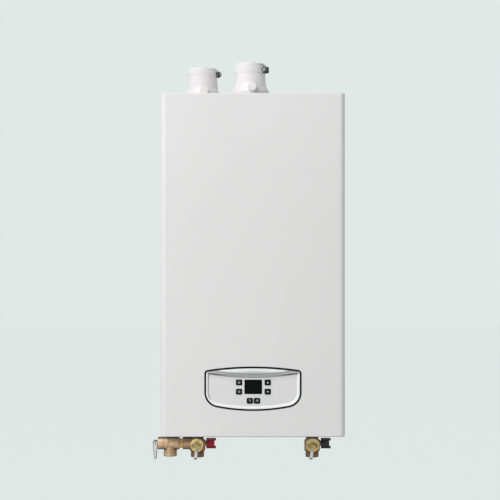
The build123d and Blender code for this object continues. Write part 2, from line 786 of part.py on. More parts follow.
# Cover seals: a ring that meets the casing's flange and a ring round the panel opening
seal_w = CHASSIS_W - 2 * SEAL_INSET
seal_h = CHASSIS_H - 2 * SEAL_INSET
panel_seal_t = BOX_FRONT - REST_GAP - COVER_INSIDE
with BuildPart() as cover_seals:
    with BuildSketch(front_plane(COVER_INSIDE, z=CHASSIS_MID_Z)):
        RectangleRounded(seal_w, seal_h, SEAL_W)
        Rectangle(seal_w - 2 * SEAL_W, seal_h - 2 * SEAL_W, mode=Mode.SUBTRACT)
    extrude(amount=-SEAL_T)
    with BuildSketch(front_plane(COVER_INSIDE, z=PANEL_Z)):
        add(panel_outline(-PANEL_GASKET_INSET - PANEL_GASKET_W))
        add(panel_outline(-PANEL_GASKET_INSET), mode=Mode.SUBTRACT)
    extrude(amount=-panel_seal_t)
cover_seals.part.label = "cover_seals"
export_step(cover_seals.part, "parts/cover_seals.step")

# Casing screws: pan heads for the cover, the collars' flanges and the base plate
screw_up = Plane.XY.offset(CASE_TOP + REST_GAP)
screw_down = Plane.XY.offset(CASE_BOTTOM - REST_GAP)
collar_screw_z = COLLAR_BASE + COLLAR_FLANGE_T
with BuildPart() as casing_screws:
    with BuildSketch(screw_up):
        with GridLocations(2 * COVER_SCREW_X, 1, 2, 1):
            with Locations((0, COVER_SCREW_Y)):
                Circle(SCREW_HEAD_R)
    extrude(amount=SCREW_HEAD_H)
    with BuildSketch(screw_up):
        with Locations((-COVER_SCREW_X, COVER_SCREW_Y), (COVER_SCREW_X, COVER_SCREW_Y)):
            Circle(SCREW_R)
    extrude(amount=-COVER_STEP - REST_GAP - SCREW_END)
    with BuildSketch(screw_down):
        with Locations((-COVER_SCREW_X, COVER_SCREW_Y), (COVER_SCREW_X, COVER_SCREW_Y)):
            Circle(SCREW_HEAD_R)
    extrude(amount=-SCREW_HEAD_H)
    with BuildSketch(screw_down):
        with Locations((-COVER_SCREW_X, COVER_SCREW_Y), (COVER_SCREW_X, COVER_SCREW_Y)):
            Circle(SCREW_R)
    extrude(amount=COVER_STEP + REST_GAP + SCREW_END)
    for collar_x, collar_y in collar_axes.values():
        with BuildSketch(Plane.XY.offset(collar_screw_z)):
            with Locations((collar_x, collar_y)):
                with GridLocations(COLLAR_SCREW_PITCH, COLLAR_SCREW_PITCH, 2, 2):
                    Circle(SCREW_HEAD_R)
        extrude(amount=SCREW_HEAD_H)
        with BuildSketch(Plane.XY.offset(collar_screw_z)):
            with Locations((collar_x, collar_y)):
                with GridLocations(COLLAR_SCREW_PITCH, COLLAR_SCREW_PITCH, 2, 2):
                    Circle(SCREW_R)
        extrude(amount=-COLLAR_FLANGE_T - COLLAR_GASKET_T - SCREW_END)
    with BuildSketch(Plane.XY.offset(CHASSIS_BOTTOM)):
        with Locations(*base_screw_places):
            Circle(SCREW_HEAD_R)
    extrude(amount=-SCREW_HEAD_H)
    with BuildSketch(Plane.XY.offset(CHASSIS_BOTTOM)):
        with Locations(*base_screw_places):
            Circle(SCREW_R)
    extrude(amount=SHEET + SCREW_END)
casing_screws.part.label = "casing_screws"
export_step(casing_screws.part, "parts/casing_screws.step")

# Panel bezel: a shell with a raised rim, a brow along its top and a sunk face with its openings
with BuildPart() as panel_bezel:
    with BuildSketch(front_plane(BEZEL_FRONT, z=PANEL_Z)):
        add(panel_outline(PANEL_GAP))
    extrude(amount=BEZEL_FRONT - BOX_FRONT)
    fillet(panel_bezel.faces().sort_by(Axis.Y)[0].edges(), BEZEL_EDGE_R)
    with BuildSketch(front_plane(BEZEL_FRONT, z=PANEL_Z)):
        add(pocket_outline(PANEL_GAP + BEZEL_RIM, BROW_UPPER_MID, BROW_UPPER_END))
    with BuildSketch(front_plane(PANEL_FACE, z=PANEL_Z)):
        add(pocket_outline(PANEL_GAP + BEZEL_RIM + BEZEL_SLOPE, BROW_LOWER_MID, BROW_LOWER_END))
    loft(ruled=True, mode=Mode.SUBTRACT)
    with BuildSketch(front_plane(BOX_FRONT, z=PANEL_Z)):
        add(panel_outline(PANEL_GAP + BEZEL_WALL))
    extrude(amount=BOX_FRONT - PANEL_BACK, mode=Mode.SUBTRACT)
    with BuildSketch(front_plane(PANEL_BOARD_FRONT, z=PANEL_Z)):
        with GridLocations(2 * post_x, 2 * post_z, 2, 2):
            Circle(BOARD_POST_R)
    extrude(amount=PANEL_BOARD_FRONT - PANEL_BACK)
    with BuildSketch(front_plane(PANEL_BACK, z=PANEL_Z)):
        with Locations((LCD_RIGHT, LCD_UP)):
            RectangleRounded(LCD_W + 2 * LCD_FIT, LCD_H + 2 * LCD_FIT, LCD_CORNER_R)
        for key_x, key_z in key_places.values():
            with Locations((key_x, key_z)):
                RectangleRounded(KEY_W + 2 * KEY_CLEAR, KEY_H + 2 * KEY_CLEAR, KEY_CORNER_R + KEY_CLEAR)
    extrude(amount=BEZEL_PLATE, mode=Mode.SUBTRACT)
panel_bezel.part.label = "panel_bezel"
export_step(panel_bezel.part, "parts/panel_bezel.step")

# Display window
with BuildPart() as lcd_window:
    with BuildSketch(front_plane(LCD_FRONT, LCD_RIGHT, PANEL_Z + LCD_UP)):
        RectangleRounded(LCD_W, LCD_H, LCD_CORNER_R)
    extrude(amount=-LCD_T)
lcd_window.part.label = "lcd_window"
export_step(lcd_window.part, "parts/lcd_window.step")

# Panel board with the display module and one switch behind each key
lcd_module_t = PANEL_BOARD_FRONT - LCD_FRONT - LCD_T
with BuildPart() as panel_board:
    with BuildSketch(front_plane(PANEL_BOARD_BACK, z=PANEL_Z)):
        Rectangle(PANEL_BOARD_W, PANEL_BOARD_H)
    extrude(amount=BOARD_T)
    with BuildSketch(front_plane(PANEL_BOARD_FRONT, z=PANEL_Z)):
        with Locations((LCD_RIGHT, LCD_UP)):
            Rectangle(LCD_W - 2 * LCD_MODULE_EDGE, LCD_H - 2 * LCD_MODULE_EDGE)
    extrude(amount=lcd_module_t)
    with BuildSketch(front_plane(PANEL_BOARD_FRONT, z=PANEL_Z)):
        with Locations(*key_places.values()):
            Rectangle(SWITCH_W, SWITCH_W)
    extrude(amount=SWITCH_H)
panel_board.part.label = "panel_board"
export_step(panel_board.part, "parts/panel_board.step")

# Keys: a cap through the bezel with a flange behind it
for key_name, (key_x, key_z) in key_places.items():
    with BuildPart() as key:
        with BuildSketch(front_plane(KEY_FLANGE_FRONT, key_x, PANEL_Z + key_z)):
            RectangleRounded(KEY_W, KEY_H, KEY_CORNER_R)
        extrude(amount=KEY_FLANGE_FRONT - KEY_FRONT)
        fillet(key.faces().sort_by(Axis.Y)[0].edges(), KEY_EDGE_R)
        with BuildSketch(front_plane(KEY_FLANGE_BACK, key_x, PANEL_Z + key_z)):
            RectangleRounded(KEY_W + 2 * KEY_FLANGE, KEY_H + 2 * KEY_FLANGE, KEY_CORNER_R + KEY_FLANGE)
        extrude(amount=KEY_FLANGE_T)
    key.part.label = key_name
    export_step(key.part, f"parts/{key_name}.step")

# Control box: a tray behind the bezel with a wide front lip that the panel seal meets
box_w = PANEL_W + 2 * BOX_MARGIN
box_h = PANEL_H + 2 * BOX_MARGIN
room_w = box_w - 2 * BOX_WALL
room_h = box_h - 2 * BOX_WALL
control_x = CONTROL_BOARD_W / 2 - BOARD_POST_IN
control_z = CONTROL_BOARD_H / 2 - BOARD_POST_IN
with BuildPart() as control_box:
    with BuildSketch(front_plane(BOX_BACK, z=PANEL_Z)):
        Rectangle(box_w, box_h)
    extrude(amount=BOX_D)
    with BuildSketch(front_plane(BOX_INSIDE, z=PANEL_Z)):
        Rectangle(room_w, room_h)
    extrude(amount=BOX_D - 2 * BOX_WALL, mode=Mode.SUBTRACT)
    with BuildSketch(front_plane(BOX_FRONT, z=PANEL_Z)):
        add(panel_outline(PANEL_GAP + BEZEL_WALL))
    extrude(amount=-2 * BOX_WALL, mode=Mode.SUBTRACT)
    with BuildSketch(front_plane(BOX_INSIDE, z=PANEL_Z)):
        with GridLocations(2 * control_x, 2 * control_z, 2, 2):
            Circle(BOARD_POST_R)
    extrude(amount=CONTROL_POST_H)
control_box.part.label = "control_box"
export_step(control_box.part, "parts/control_box.step")

# Control board with relays and a heat sink
control_board_back = BOX_INSIDE - CONTROL_POST_H
with BuildPart() as control_board:
    with BuildSketch(front_plane(control_board_back, z=PANEL_Z)):
        Rectangle(CONTROL_BOARD_W, CONTROL_BOARD_H)
    extrude(amount=BOARD_T)
    with BuildSketch(front_plane(control_board_back - BOARD_T, z=PANEL_Z)):
        with GridLocations(2 * RELAY_W, 2 * RELAY_H, 3, 2):
            Rectangle(RELAY_W, RELAY_H)
    extrude(amount=RELAY_D)
    with BuildSketch(front_plane(control_board_back - BOARD_T, z=PANEL_Z)):
        Rectangle(SINK_W, RELAY_H)
    extrude(amount=SINK_D)
control_board.part.label = "control_board"
export_step(control_board.part, "parts/control_board.step")

# Chassis rails: two channels up the back that carry the exchangers, two bars behind the control box
rail_low = BURNER_BOTTOM
rail_high = SECONDARY_TOP
with BuildPart() as chassis_rails:
    with BuildSketch(Plane.XY.offset(rail_low)):
        for rail_x in (STACK_X - RAIL_X, STACK_X + RAIL_X):
            with Locations((rail_x, BACK_INSIDE - RAIL_D / 2)):
                Rectangle(RAIL_W, RAIL_D)
            with Locations((rail_x, BACK_INSIDE - RAIL_D / 2 + RAIL_T)):
                Rectangle(RAIL_W - 2 * RAIL_T, RAIL_D, mode=Mode.SUBTRACT)
    extrude(amount=rail_high - rail_low)
    for bar_z in (PANEL_Z - BAR_Z, PANEL_Z + BAR_Z):
        with BuildSketch(Plane.XY.offset(bar_z - BAR_H / 2)):
            with Locations((0, BOX_BACK + RAIL_T / 2)):
                Rectangle(2 * SIDE_INSIDE, RAIL_T)
            with Locations((0, BOX_BACK + BAR_TAB / 2)):
                with GridLocations(2 * SIDE_INSIDE - RAIL_T, 1, 2, 1):
                    Rectangle(RAIL_T, BAR_TAB)
        extrude(amount=BAR_H)
chassis_rails.part.label = "chassis_rails"
export_step(chassis_rails.part, "parts/chassis_rails.step")


def test_direction():
    """Unit vector that the collars' test ports point along, in plan."""
    turn = radians(TEST_TURN)
    return (sin(turn), -cos(turn), 0)


def test_plane(axis_x, axis_y, out):
    """Plane across a collar's test port at a distance from the collar's axis, facing out."""
    way = test_direction()
    height = COLLAR_BASE + TEST_UP
    return Plane(
        origin=(axis_x + out * way[0], axis_y + out * way[1], height),
        x_dir=(-way[1], way[0], 0),
        z_dir=way,
    )


def worm_plane(vent, along):
    """Plane across a clamp screw's axis, facing its head, a distance along it from the housing's middle."""
    axis_x, axis_y = collar_axes[vent]
    angle = radians(worm_turns[vent])
    out = (cos(angle), sin(angle))
    way = (sin(angle), -cos(angle), 0)
    return Plane(
        origin=(
            axis_x + WORM_OUT * out[0] + along * way[0],
            axis_y + WORM_OUT * out[1] + along * way[1],
            COLLAR_BASE + band_ups[vent],
        ),
        x_dir=(out[0], out[1], 0),
        z_dir=way,
    )


# Flue collars: a flanged foot, a shouldered drum and a socket, with a test port at the front
for vent, (axis_x, axis_y) in collar_axes.items():
    with BuildPart() as collar:
        with BuildSketch(front_plane(axis_y, axis_x, COLLAR_BASE)):
            with BuildLine():
                Polyline(
                    (0, -COLLAR_GASKET_T - SHEET - SPIGOT_LONG),
                    (SPIGOT_R, -COLLAR_GASKET_T - SHEET - SPIGOT_LONG),
                    (SPIGOT_R, 0),
                    (COLLAR_DRUM_R, 0),
                    (COLLAR_DRUM_R, COLLAR_DRUM_Z),
                )
                Bezier(
                    (COLLAR_DRUM_R, COLLAR_DRUM_Z),
                    (COLLAR_DRUM_R, COLLAR_DRUM_Z + COLLAR_CURVE_UP),
                    (COLLAR_NECK_R + COLLAR_CURVE_IN, COLLAR_NECK_Z - COLLAR_CURVE_DOWN),
                    (COLLAR_NECK_R, COLLAR_NECK_Z),
                )
                Polyline(
                    (COLLAR_NECK_R, COLLAR_NECK_Z),
                    (COLLAR_R + COLLAR_STEP, COLLAR_H - COLLAR_SLEEVE_H),
                    (COLLAR_R, COLLAR_H - COLLAR_SLEEVE_H),
                    (COLLAR_R, COLLAR_H),
                    (0, COLLAR_H),
                    (0, -COLLAR_GASKET_T - SHEET - SPIGOT_LONG),
                )
            make_face()
        revolve(axis=Axis((axis_x, axis_y, 0), (0, 0, 1)))
        fillet(collar.faces().sort_by(Axis.Z)[-1].edges(), COLLAR_RIM_R)
        with BuildSketch(Plane.XY.offset(COLLAR_BASE)):
            with Locations((axis_x, axis_y)):
                RectangleRounded(FLANGE_SIDE, FLANGE_SIDE, COLLAR_FLANGE_CORNER_R)
        extrude(amount=COLLAR_FLANGE_T)
        with BuildSketch(test_plane(axis_x, axis_y, FLUE_R)):
            Circle(TEST_BOSS_R)
        extrude(amount=TEST_BOSS_OUT - FLUE_R)
        with BuildSketch(Plane.XY.offset(COLLAR_BASE)):
            with Locations((axis_x, axis_y)):
                with GridLocations(COLLAR_SCREW_PITCH, COLLAR_SCREW_PITCH, 2, 2):
                    Circle(SCREW_R + HOLE_CLEAR)
        extrude(amount=COLLAR_FLANGE_T, mode=Mode.SUBTRACT)
        with BuildSketch(Plane.XY.offset(COLLAR_BASE + SOCKET_FLOOR)):
            with Locations((axis_x, axis_y)):
                Circle(COLLAR_R - COLLAR_WALL)
        extrude(amount=SOCKET_DEEP, mode=Mode.SUBTRACT)
        with BuildSketch(Plane.XY.offset(CHASSIS_TOP - SHEET - SPIGOT_LONG)):
            with Locations((axis_x, axis_y)):
                Circle(FLUE_R)
        extrude(amount=COLLAR_H, mode=Mode.SUBTRACT)
        with BuildSketch(test_plane(axis_x, axis_y, 0)):
            Circle(TEST_BORE_R)
        extrude(amount=TEST_BOSS_OUT, mode=Mode.SUBTRACT)
    collar.part.label = f"{vent}_collar"
    export_step(collar.part, f"parts/{vent}_collar.step")

# Vent seals: a flat gasket under each flange and a rubber sleeve in each socket
with BuildPart() as vent_seals:
    for axis_x, axis_y in collar_axes.values():
        with BuildSketch(Plane.XY.offset(CHASSIS_TOP)):
            with Locations((axis_x, axis_y)):
                RectangleRounded(FLANGE_SIDE, FLANGE_SIDE, COLLAR_FLANGE_CORNER_R)
                Circle(SPIGOT_R + HOLE_CLEAR, mode=Mode.SUBTRACT)
                with GridLocations(COLLAR_SCREW_PITCH, COLLAR_SCREW_PITCH, 2, 2):
                    Circle(SCREW_R + HOLE_CLEAR, mode=Mode.SUBTRACT)
        extrude(amount=COLLAR_GASKET_T)
        with BuildSketch(Plane.XY.offset(COLLAR_BASE + SOCKET_FLOOR)):
            with Locations((axis_x, axis_y)):
                Circle(COLLAR_R - COLLAR_WALL - SLEEVE_GAP)
                Circle(PIPE_SOCKET_R, mode=Mode.SUBTRACT)
        extrude(amount=SOCKET_DEEP - SOCKET_REST)
vent_seals.part.label = "vent_seals"
export_step(vent_seals.part, "parts/vent_seals.step")

# Test plugs: a round cap with a stem in the collar's test port
for vent, (axis_x, axis_y) in collar_axes.items():
    with BuildPart() as plug:
        with BuildSketch(test_plane(axis_x, axis_y, TEST_BOSS_OUT + REST_GAP)):
            Circle(TEST_CAP_R)
        extrude(amount=TEST_CAP_T)
        fillet(plug.edges().filter_by(GeomType.CIRCLE).sort_by(Axis.Y)[0], TEST_CAP_EDGE_R)
        with BuildSketch(test_plane(axis_x, axis_y, TEST_BOSS_OUT + REST_GAP)):
            Circle(TEST_BORE_R - TEST_STEM_CLEAR)
        extrude(amount=-TEST_STEM_LONG)
        with Locations(test_plane(axis_x, axis_y, TEST_BOSS_OUT + REST_GAP + TEST_CAP_T)):
            Sphere(TEST_DIMPLE_R, mode=Mode.SUBTRACT)
    plug.part.label = f"{vent}_test_plug"
    export_step(plug.part, f"parts/{vent}_test_plug.step")

# Clamp bands: a steel band round each collar's sleeve with a worm housing
band_in = COLLAR_R + SLEEVE_GAP
band_out = band_in + BAND_T
with BuildPart() as clamp_bands:
    for vent, (axis_x, axis_y) in collar_axes.items():
        with BuildSketch(worm_plane(vent, -WORM_LONG / 2)) as housing_end:
            with Locations(((WORM_HOUSING_OUT + COLLAR_R) / 2 - WORM_OUT, 0)):
                Rectangle(WORM_HOUSING_OUT - COLLAR_R, WORM_HOUSING_H)
            fillet(housing_end.vertices().group_by(Axis.X)[-1], WORM_HOUSING_EDGE_R)
        extrude(amount=WORM_LONG)
        with BuildSketch(Plane.XY.offset(COLLAR_BASE + band_ups[vent] - BAND_H / 2)):
            with Locations((axis_x, axis_y)):
                Circle(band_out)
        extrude(amount=BAND_H)
        with BuildSketch(Plane.XY.offset(COLLAR_BASE + band_ups[vent] - WORM_HOUSING_H)):
            with Locations((axis_x, axis_y)):
                Circle(band_in)
        extrude(amount=2 * WORM_HOUSING_H, mode=Mode.SUBTRACT)
        with BuildSketch(worm_plane(vent, -WORM_LONG)):
            Circle(WORM_R + WORM_CLEAR)
        extrude(amount=2 * WORM_LONG, mode=Mode.SUBTRACT)
clamp_bands.part.label = "clamp_bands"
export_step(clamp_bands.part, "parts/clamp_bands.step")

# Clamp screws: a worm in the housing with a flanged, slotted hexagon head
for vent in collar_axes:
    head_at = WORM_LONG / 2 + REST_GAP
    with BuildPart() as worm:
        with BuildSketch(worm_plane(vent, -WORM_LONG / 2)):
            Circle(WORM_R)
        extrude(amount=WORM_LONG + REST_GAP)
        with BuildSketch(worm_plane(vent, head_at)):
            Circle(WORM_FLANGE_R)
        extrude(amount=WORM_FLANGE_T)
        with BuildSketch(worm_plane(vent, head_at + WORM_FLANGE_T)):
            RegularPolygon(WORM_HEX / 2, 6, major_radius=False)
        extrude(amount=WORM_HEX_LONG)
        slot_at = head_at + WORM_FLANGE_T + WORM_HEX_LONG - WORM_SLOT_DEEP
        with BuildSketch(worm_plane(vent, slot_at)):
            Rectangle(2 * WORM_HEX, WORM_SLOT_W)
        extrude(amount=WORM_SLOT_DEEP, mode=Mode.SUBTRACT)
    worm.part.label = f"{vent}_clamp_screw"
    export_step(worm.part, f"parts/{vent}_clamp_screw.step")

# Burner box: open at its top, with ports for the fan and the gas in its floor
outlet_x = FAN_X + FAN_R - FAN_OUTLET_W / 2
with BuildPart() as burner_box:
    with BuildSketch(Plane.XY.offset(BURNER_BOTTOM)):
        with Locations((STACK_X, STACK_Y)):
            Rectangle(STACK_W, STACK_D)
    extrude(amount=BURNER_H)
    with BuildSketch(Plane.XY.offset(BURNER_TOP - STACK_LIP_T)):
        with Locations((STACK_X, STACK_Y - STACK_LIP / 2)):
            Rectangle(STACK_W + 2 * STACK_LIP, STACK_D + STACK_LIP)
    extrude(amount=STACK_LIP_T)
    with BuildSketch(Plane.XY.offset(BURNER_BOTTOM + STACK_WALL)):
        with Locations((STACK_X, STACK_Y)):
            Rectangle(STACK_W - 2 * STACK_WALL, STACK_D - 2 * STACK_WALL)
    extrude(amount=BURNER_H, mode=Mode.SUBTRACT)
    with BuildSketch(Plane.XY.offset(BURNER_BOTTOM)):
        with Locations((outlet_x, FAN_Y - FAN_DEEP / 2)):
            Rectangle(FAN_OUTLET_W - 2 * FAN_WALL, FAN_DEEP - 2 * FAN_WALL)
        with Locations((GAS_X, GAS_Y)):
            Circle(GAS_BORE_R)
    extrude(amount=STACK_WALL, mode=Mode.SUBTRACT)
burner_box.part.label = "burner_box"
export_step(burner_box.part, "parts/burner_box.step")

# Primary exchanger: brazed plates round upright fins, with tubes that turn back on the right side
with BuildPart() as primary_exchanger:
    with BuildSketch(Plane.XY.offset(BURNER_TOP)):
        add(stack_plan())
    extrude(amount=PRIMARY_H)
    for lip_z in (BURNER_TOP, PRIMARY_TOP - STACK_LIP_T):
        with BuildSketch(Plane.XY.offset(lip_z)):
            add(strip_plan())
        extrude(amount=STACK_LIP_T)
    with BuildSketch(Plane.XY.offset(BURNER_TOP)):
        with Locations((STACK_X, STACK_Y)):
            with GridLocations(STACK_ROOM_W / FIN_COUNT, 1, FIN_COUNT, 1):
                Rectangle(FIN_T, STACK_ROOM_D)
    extrude(amount=PRIMARY_H)
    for bend in range(BEND_COUNT):
        bend_x = STACK_RIGHT + BRAZE_GAP
        bend_z = BURNER_TOP + PRIMARY_H / 2 + (bend - (BEND_COUNT - 1) / 2) * BEND_PITCH
        bend_y = STACK_BACK - BEND_BACK
        with BuildSketch(side_plane(bend_x, bend_y - BEND_R, bend_z)):
            Circle(BEND_TUBE_R)
        revolve(axis=Axis((bend_x, bend_y, bend_z), (0, 0, 1)), revolution_arc=180)
primary_exchanger.part.label = "primary_exchanger"
export_step(primary_exchanger.part, "parts/primary_exchanger.step")

# Secondary exchanger: a brazed steel box with ribs across its front and staggered baffles
with BuildPart() as secondary_exchanger:
    with BuildSketch(Plane.XY.offset(PRIMARY_TOP)):
        add(stack_plan())
    extrude(amount=SECONDARY_H)
    with BuildSketch(Plane.XY.offset(PRIMARY_TOP)):
        add(strip_plan())
    extrude(amount=STACK_LIP_T)
    for level in range(BAFFLE_COUNT):
        baffle_side = 1 if level % 2 else -1
        with BuildSketch(Plane.XY.offset(PRIMARY_TOP + (level + 1) * SECONDARY_H / (BAFFLE_COUNT + 1))):
            with Locations((STACK_X + baffle_side * BAFFLE_OPEN / 2, STACK_Y)):
                Rectangle(STACK_ROOM_W - BAFFLE_OPEN, STACK_ROOM_D)
        extrude(amount=BAFFLE_T)
    with BuildSketch(front_plane(STACK_FRONT, STACK_X, PRIMARY_TOP + SECONDARY_H / 2)):
        with GridLocations(1, SECONDARY_H / (RIB_COUNT + 1), 1, RIB_COUNT):
            RectangleRounded(STACK_W - 2 * RIB_SIDE, RIB_H, RIB_OUT)
    extrude(amount=RIB_OUT)
secondary_exchanger.part.label = "secondary_exchanger"
export_step(secondary_exchanger.part, "parts/secondary_exchanger.step")

# Exhaust duct: a hood on the secondary exchanger and a pipe up round the exhaust collar's spigot
duct_in = SPIGOT_R + SPIGOT_CLEAR
duct_top = CHASSIS_TOP - SHEET - DUCT_TOP_GAP
with BuildPart() as exhaust_duct:
    with BuildSketch(Plane.XY.offset(SECONDARY_TOP)):
        with Locations((STACK_X, STACK_Y)):
            Rectangle(STACK_W, STACK_D)
    extrude(amount=HOOD_H)
    with BuildSketch(Plane.XY.offset(SECONDARY_TOP)):
        with Locations((EXHAUST_X, EXHAUST_Y)):
            Circle(duct_in + DUCT_WALL)
    extrude(amount=duct_top - SECONDARY_TOP)
    with BuildSketch(Plane.XY.offset(SECONDARY_TOP)):
        with Locations((STACK_X, STACK_Y)):
            Rectangle(STACK_W - 2 * HOOD_WALL, STACK_D - 2 * HOOD_WALL)
    extrude(amount=HOOD_H - HOOD_WALL, mode=Mode.SUBTRACT)
    with BuildSketch(Plane.XY.offset(SECONDARY_TOP)):
        with Locations((EXHAUST_X, EXHAUST_Y)):
            Circle(duct_in)
    extrude(amount=duct_top - SECONDARY_TOP, mode=Mode.SUBTRACT)
exhaust_duct.part.label = "exhaust_duct"
export_step(exhaust_duct.part, "parts/exhaust_duct.step")

# Ignitor: a ceramic rod on a small plate in the burner box's front
with BuildPart() as ignitor:
    with BuildSketch(front_plane(STACK_FRONT, IGNITOR_X, BURNER_BOTTOM + BURNER_H / 2)):
        Rectangle(IGNITOR_PLATE, IGNITOR_PLATE)
    extrude(amount=IGNITOR_PLATE_T)
    with BuildSketch(front_plane(STACK_FRONT, IGNITOR_X, BURNER_BOTTOM + BURNER_H / 2)):
        Circle(IGNITOR_R)
    extrude(amount=IGNITOR_LONG)
ignitor.part.label = "ignitor"
export_step(ignitor.part, "parts/ignitor.step")

# Fan housing: a volute that opens up into the burner box
with BuildPart() as fan_housing:
    with BuildSketch(front_plane(FAN_Y, z=0)):
        with Locations((FAN_X, FAN_Z)):
            Circle(FAN_R)
        with Locations((outlet_x, (FAN_Z + BURNER_BOTTOM) / 2)):
            Rectangle(FAN_OUTLET_W, FAN_DOWN)
    extrude(amount=FAN_DEEP)
    with BuildSketch(front_plane(FAN_Y - FAN_WALL, z=0)):
        with Locations((FAN_X, FAN_Z)):
            Circle(FAN_R - FAN_WALL)
        with Locations((outlet_x, (FAN_Z + BURNER_BOTTOM) / 2)):
            Rectangle(FAN_OUTLET_W - 2 * FAN_WALL, FAN_DOWN)
    extrude(amount=FAN_DEEP - 2 * FAN_WALL, mode=Mode.SUBTRACT)
    with BuildSketch(front_plane(FAN_Y, FAN_X, FAN_Z)):
        Circle(FAN_INLET_R)
    extrude(amount=FAN_WALL, mode=Mode.SUBTRACT)
    with BuildSketch(front_plane(FAN_FRONT, FAN_X, FAN_Z)):
        Circle(FAN_SHAFT_HOLE_R)
    extrude(amount=-FAN_WALL, mode=Mode.SUBTRACT)
fan_housing.part.label = "fan_housing"
export_step(fan_housing.part, "parts/fan_housing.step")

# Fan impeller: a plate with upright blades, a hub and the motor's shaft
impeller_front = FAN_FRONT + FAN_WALL + IMPELLER_GAP
with BuildPart() as fan_impeller:
    with BuildSketch(front_plane(impeller_front, FAN_X, FAN_Z)):
        Circle(IMPELLER_R)
    extrude(amount=-IMPELLER_PLATE_T)
    with BuildSketch(front_plane(impeller_front, FAN_X, FAN_Z)):
        with PolarLocations(IMPELLER_R - BLADE_W / 2, BLADE_COUNT):
            Rectangle(BLADE_W, BLADE_T, rotation=BLADE_TURN)
    extrude(amount=-BLADE_LONG)
    with BuildSketch(front_plane(impeller_front, FAN_X, FAN_Z)):
        Circle(IMPELLER_HUB_R)
    extrude(amount=-BLADE_LONG / 2)
    with BuildSketch(front_plane(impeller_front, FAN_X, FAN_Z)):
        Circle(FAN_SHAFT_R)
    extrude(amount=IMPELLER_GAP + FAN_WALL + FAN_SHAFT_IN)
fan_impeller.part.label = "fan_impeller"
export_step(fan_impeller.part, "parts/fan_impeller.step")

# Fan motor: a can on the housing's front with a bore for the shaft
with BuildPart() as fan_motor:
    with BuildSketch(front_plane(FAN_FRONT, FAN_X, FAN_Z)):
        Circle(MOTOR_R)
    extrude(amount=MOTOR_LONG)
    fillet(fan_motor.faces().sort_by(Axis.Y)[0].edges(), MOTOR_EDGE_R)
    with BuildSketch(front_plane(FAN_FRONT, FAN_X, FAN_Z)):
        Circle(FAN_SHAFT_R + FAN_SHAFT_CLEAR)
    extrude(amount=FAN_SHAFT_IN + REST_GAP, mode=Mode.SUBTRACT)
fan_motor.part.label = "fan_motor"
export_step(fan_motor.part, "parts/fan_motor.step")

# Gas pipe: the inlet nipple with its flange and riser, and the feed from the valve to the burner
with BuildPart() as gas_pipe:
    with BuildSketch(Plane.XY.offset(CASE_BOTTOM - GAS_NIPPLE_DOWN)):
        with Locations((GAS_X, GAS_Y)):
            Circle(GAS_NIPPLE_R)
    extrude(amount=BASE_TOP - CASE_BOTTOM + GAS_NIPPLE_DOWN)
    with BuildSketch(Plane.XY.offset(BASE_TOP)):
        with Locations((GAS_X, GAS_Y)):
            Circle(PIPE_FLANGE_R)
    extrude(amount=PIPE_FLANGE_T)
    with BuildSketch(Plane.XY.offset(BASE_TOP)):
        with Locations((GAS_X, GAS_Y)):
            Circle(GAS_PIPE_R)
    extrude(amount=GAS_VALVE_BOTTOM - BASE_TOP)
    with BuildSketch(Plane.XY.offset(GAS_VALVE_TOP)):
        with Locations((GAS_X, GAS_Y)):
            Circle(GAS_PIPE_R)
    extrude(amount=BURNER_BOTTOM - GAS_VALVE_TOP)
    with BuildSketch(Plane.XY.offset(FLOOR_Z)):
        with Locations((GAS_X, GAS_Y)):
            RegularPolygon(GAS_NIPPLE_R + LOCKNUT_EDGE, 6, major_radius=False)
    extrude(amount=-LOCKNUT_T)
    with BuildSketch(Plane.XY.offset(CASE_BOTTOM - GAS_NIPPLE_DOWN)):
        with Locations((GAS_X, GAS_Y)):
            Circle(GAS_BORE_R)
    extrude(amount=BURNER_BOTTOM - CASE_BOTTOM + GAS_NIPPLE_DOWN, mode=Mode.SUBTRACT)
gas_pipe.part.label = "gas_pipe"
export_step(gas_pipe.part, "parts/gas_pipe.step")

# Gas valve: a cast block with two solenoid coils on its front
with BuildPart() as gas_valve:
    with BuildSketch(Plane.XY.offset(GAS_VALVE_BOTTOM)):
        with Locations((GAS_X, GAS_Y)):
            Rectangle(GAS_VALVE_W, GAS_VALVE_W)
    extrude(amount=GAS_VALVE_H)
    with BuildSketch(front_plane(GAS_Y - GAS_VALVE_W / 2, GAS_X, GAS_VALVE_BOTTOM + GAS_VALVE_H / 2)):
        with GridLocations(1, GAS_VALVE_H / 2, 1, 2):
            Circle(GAS_COIL_R)
    extrude(amount=GAS_COIL_OUT)
gas_valve.part.label = "gas_valve"
export_step(gas_valve.part, "parts/gas_valve.step")

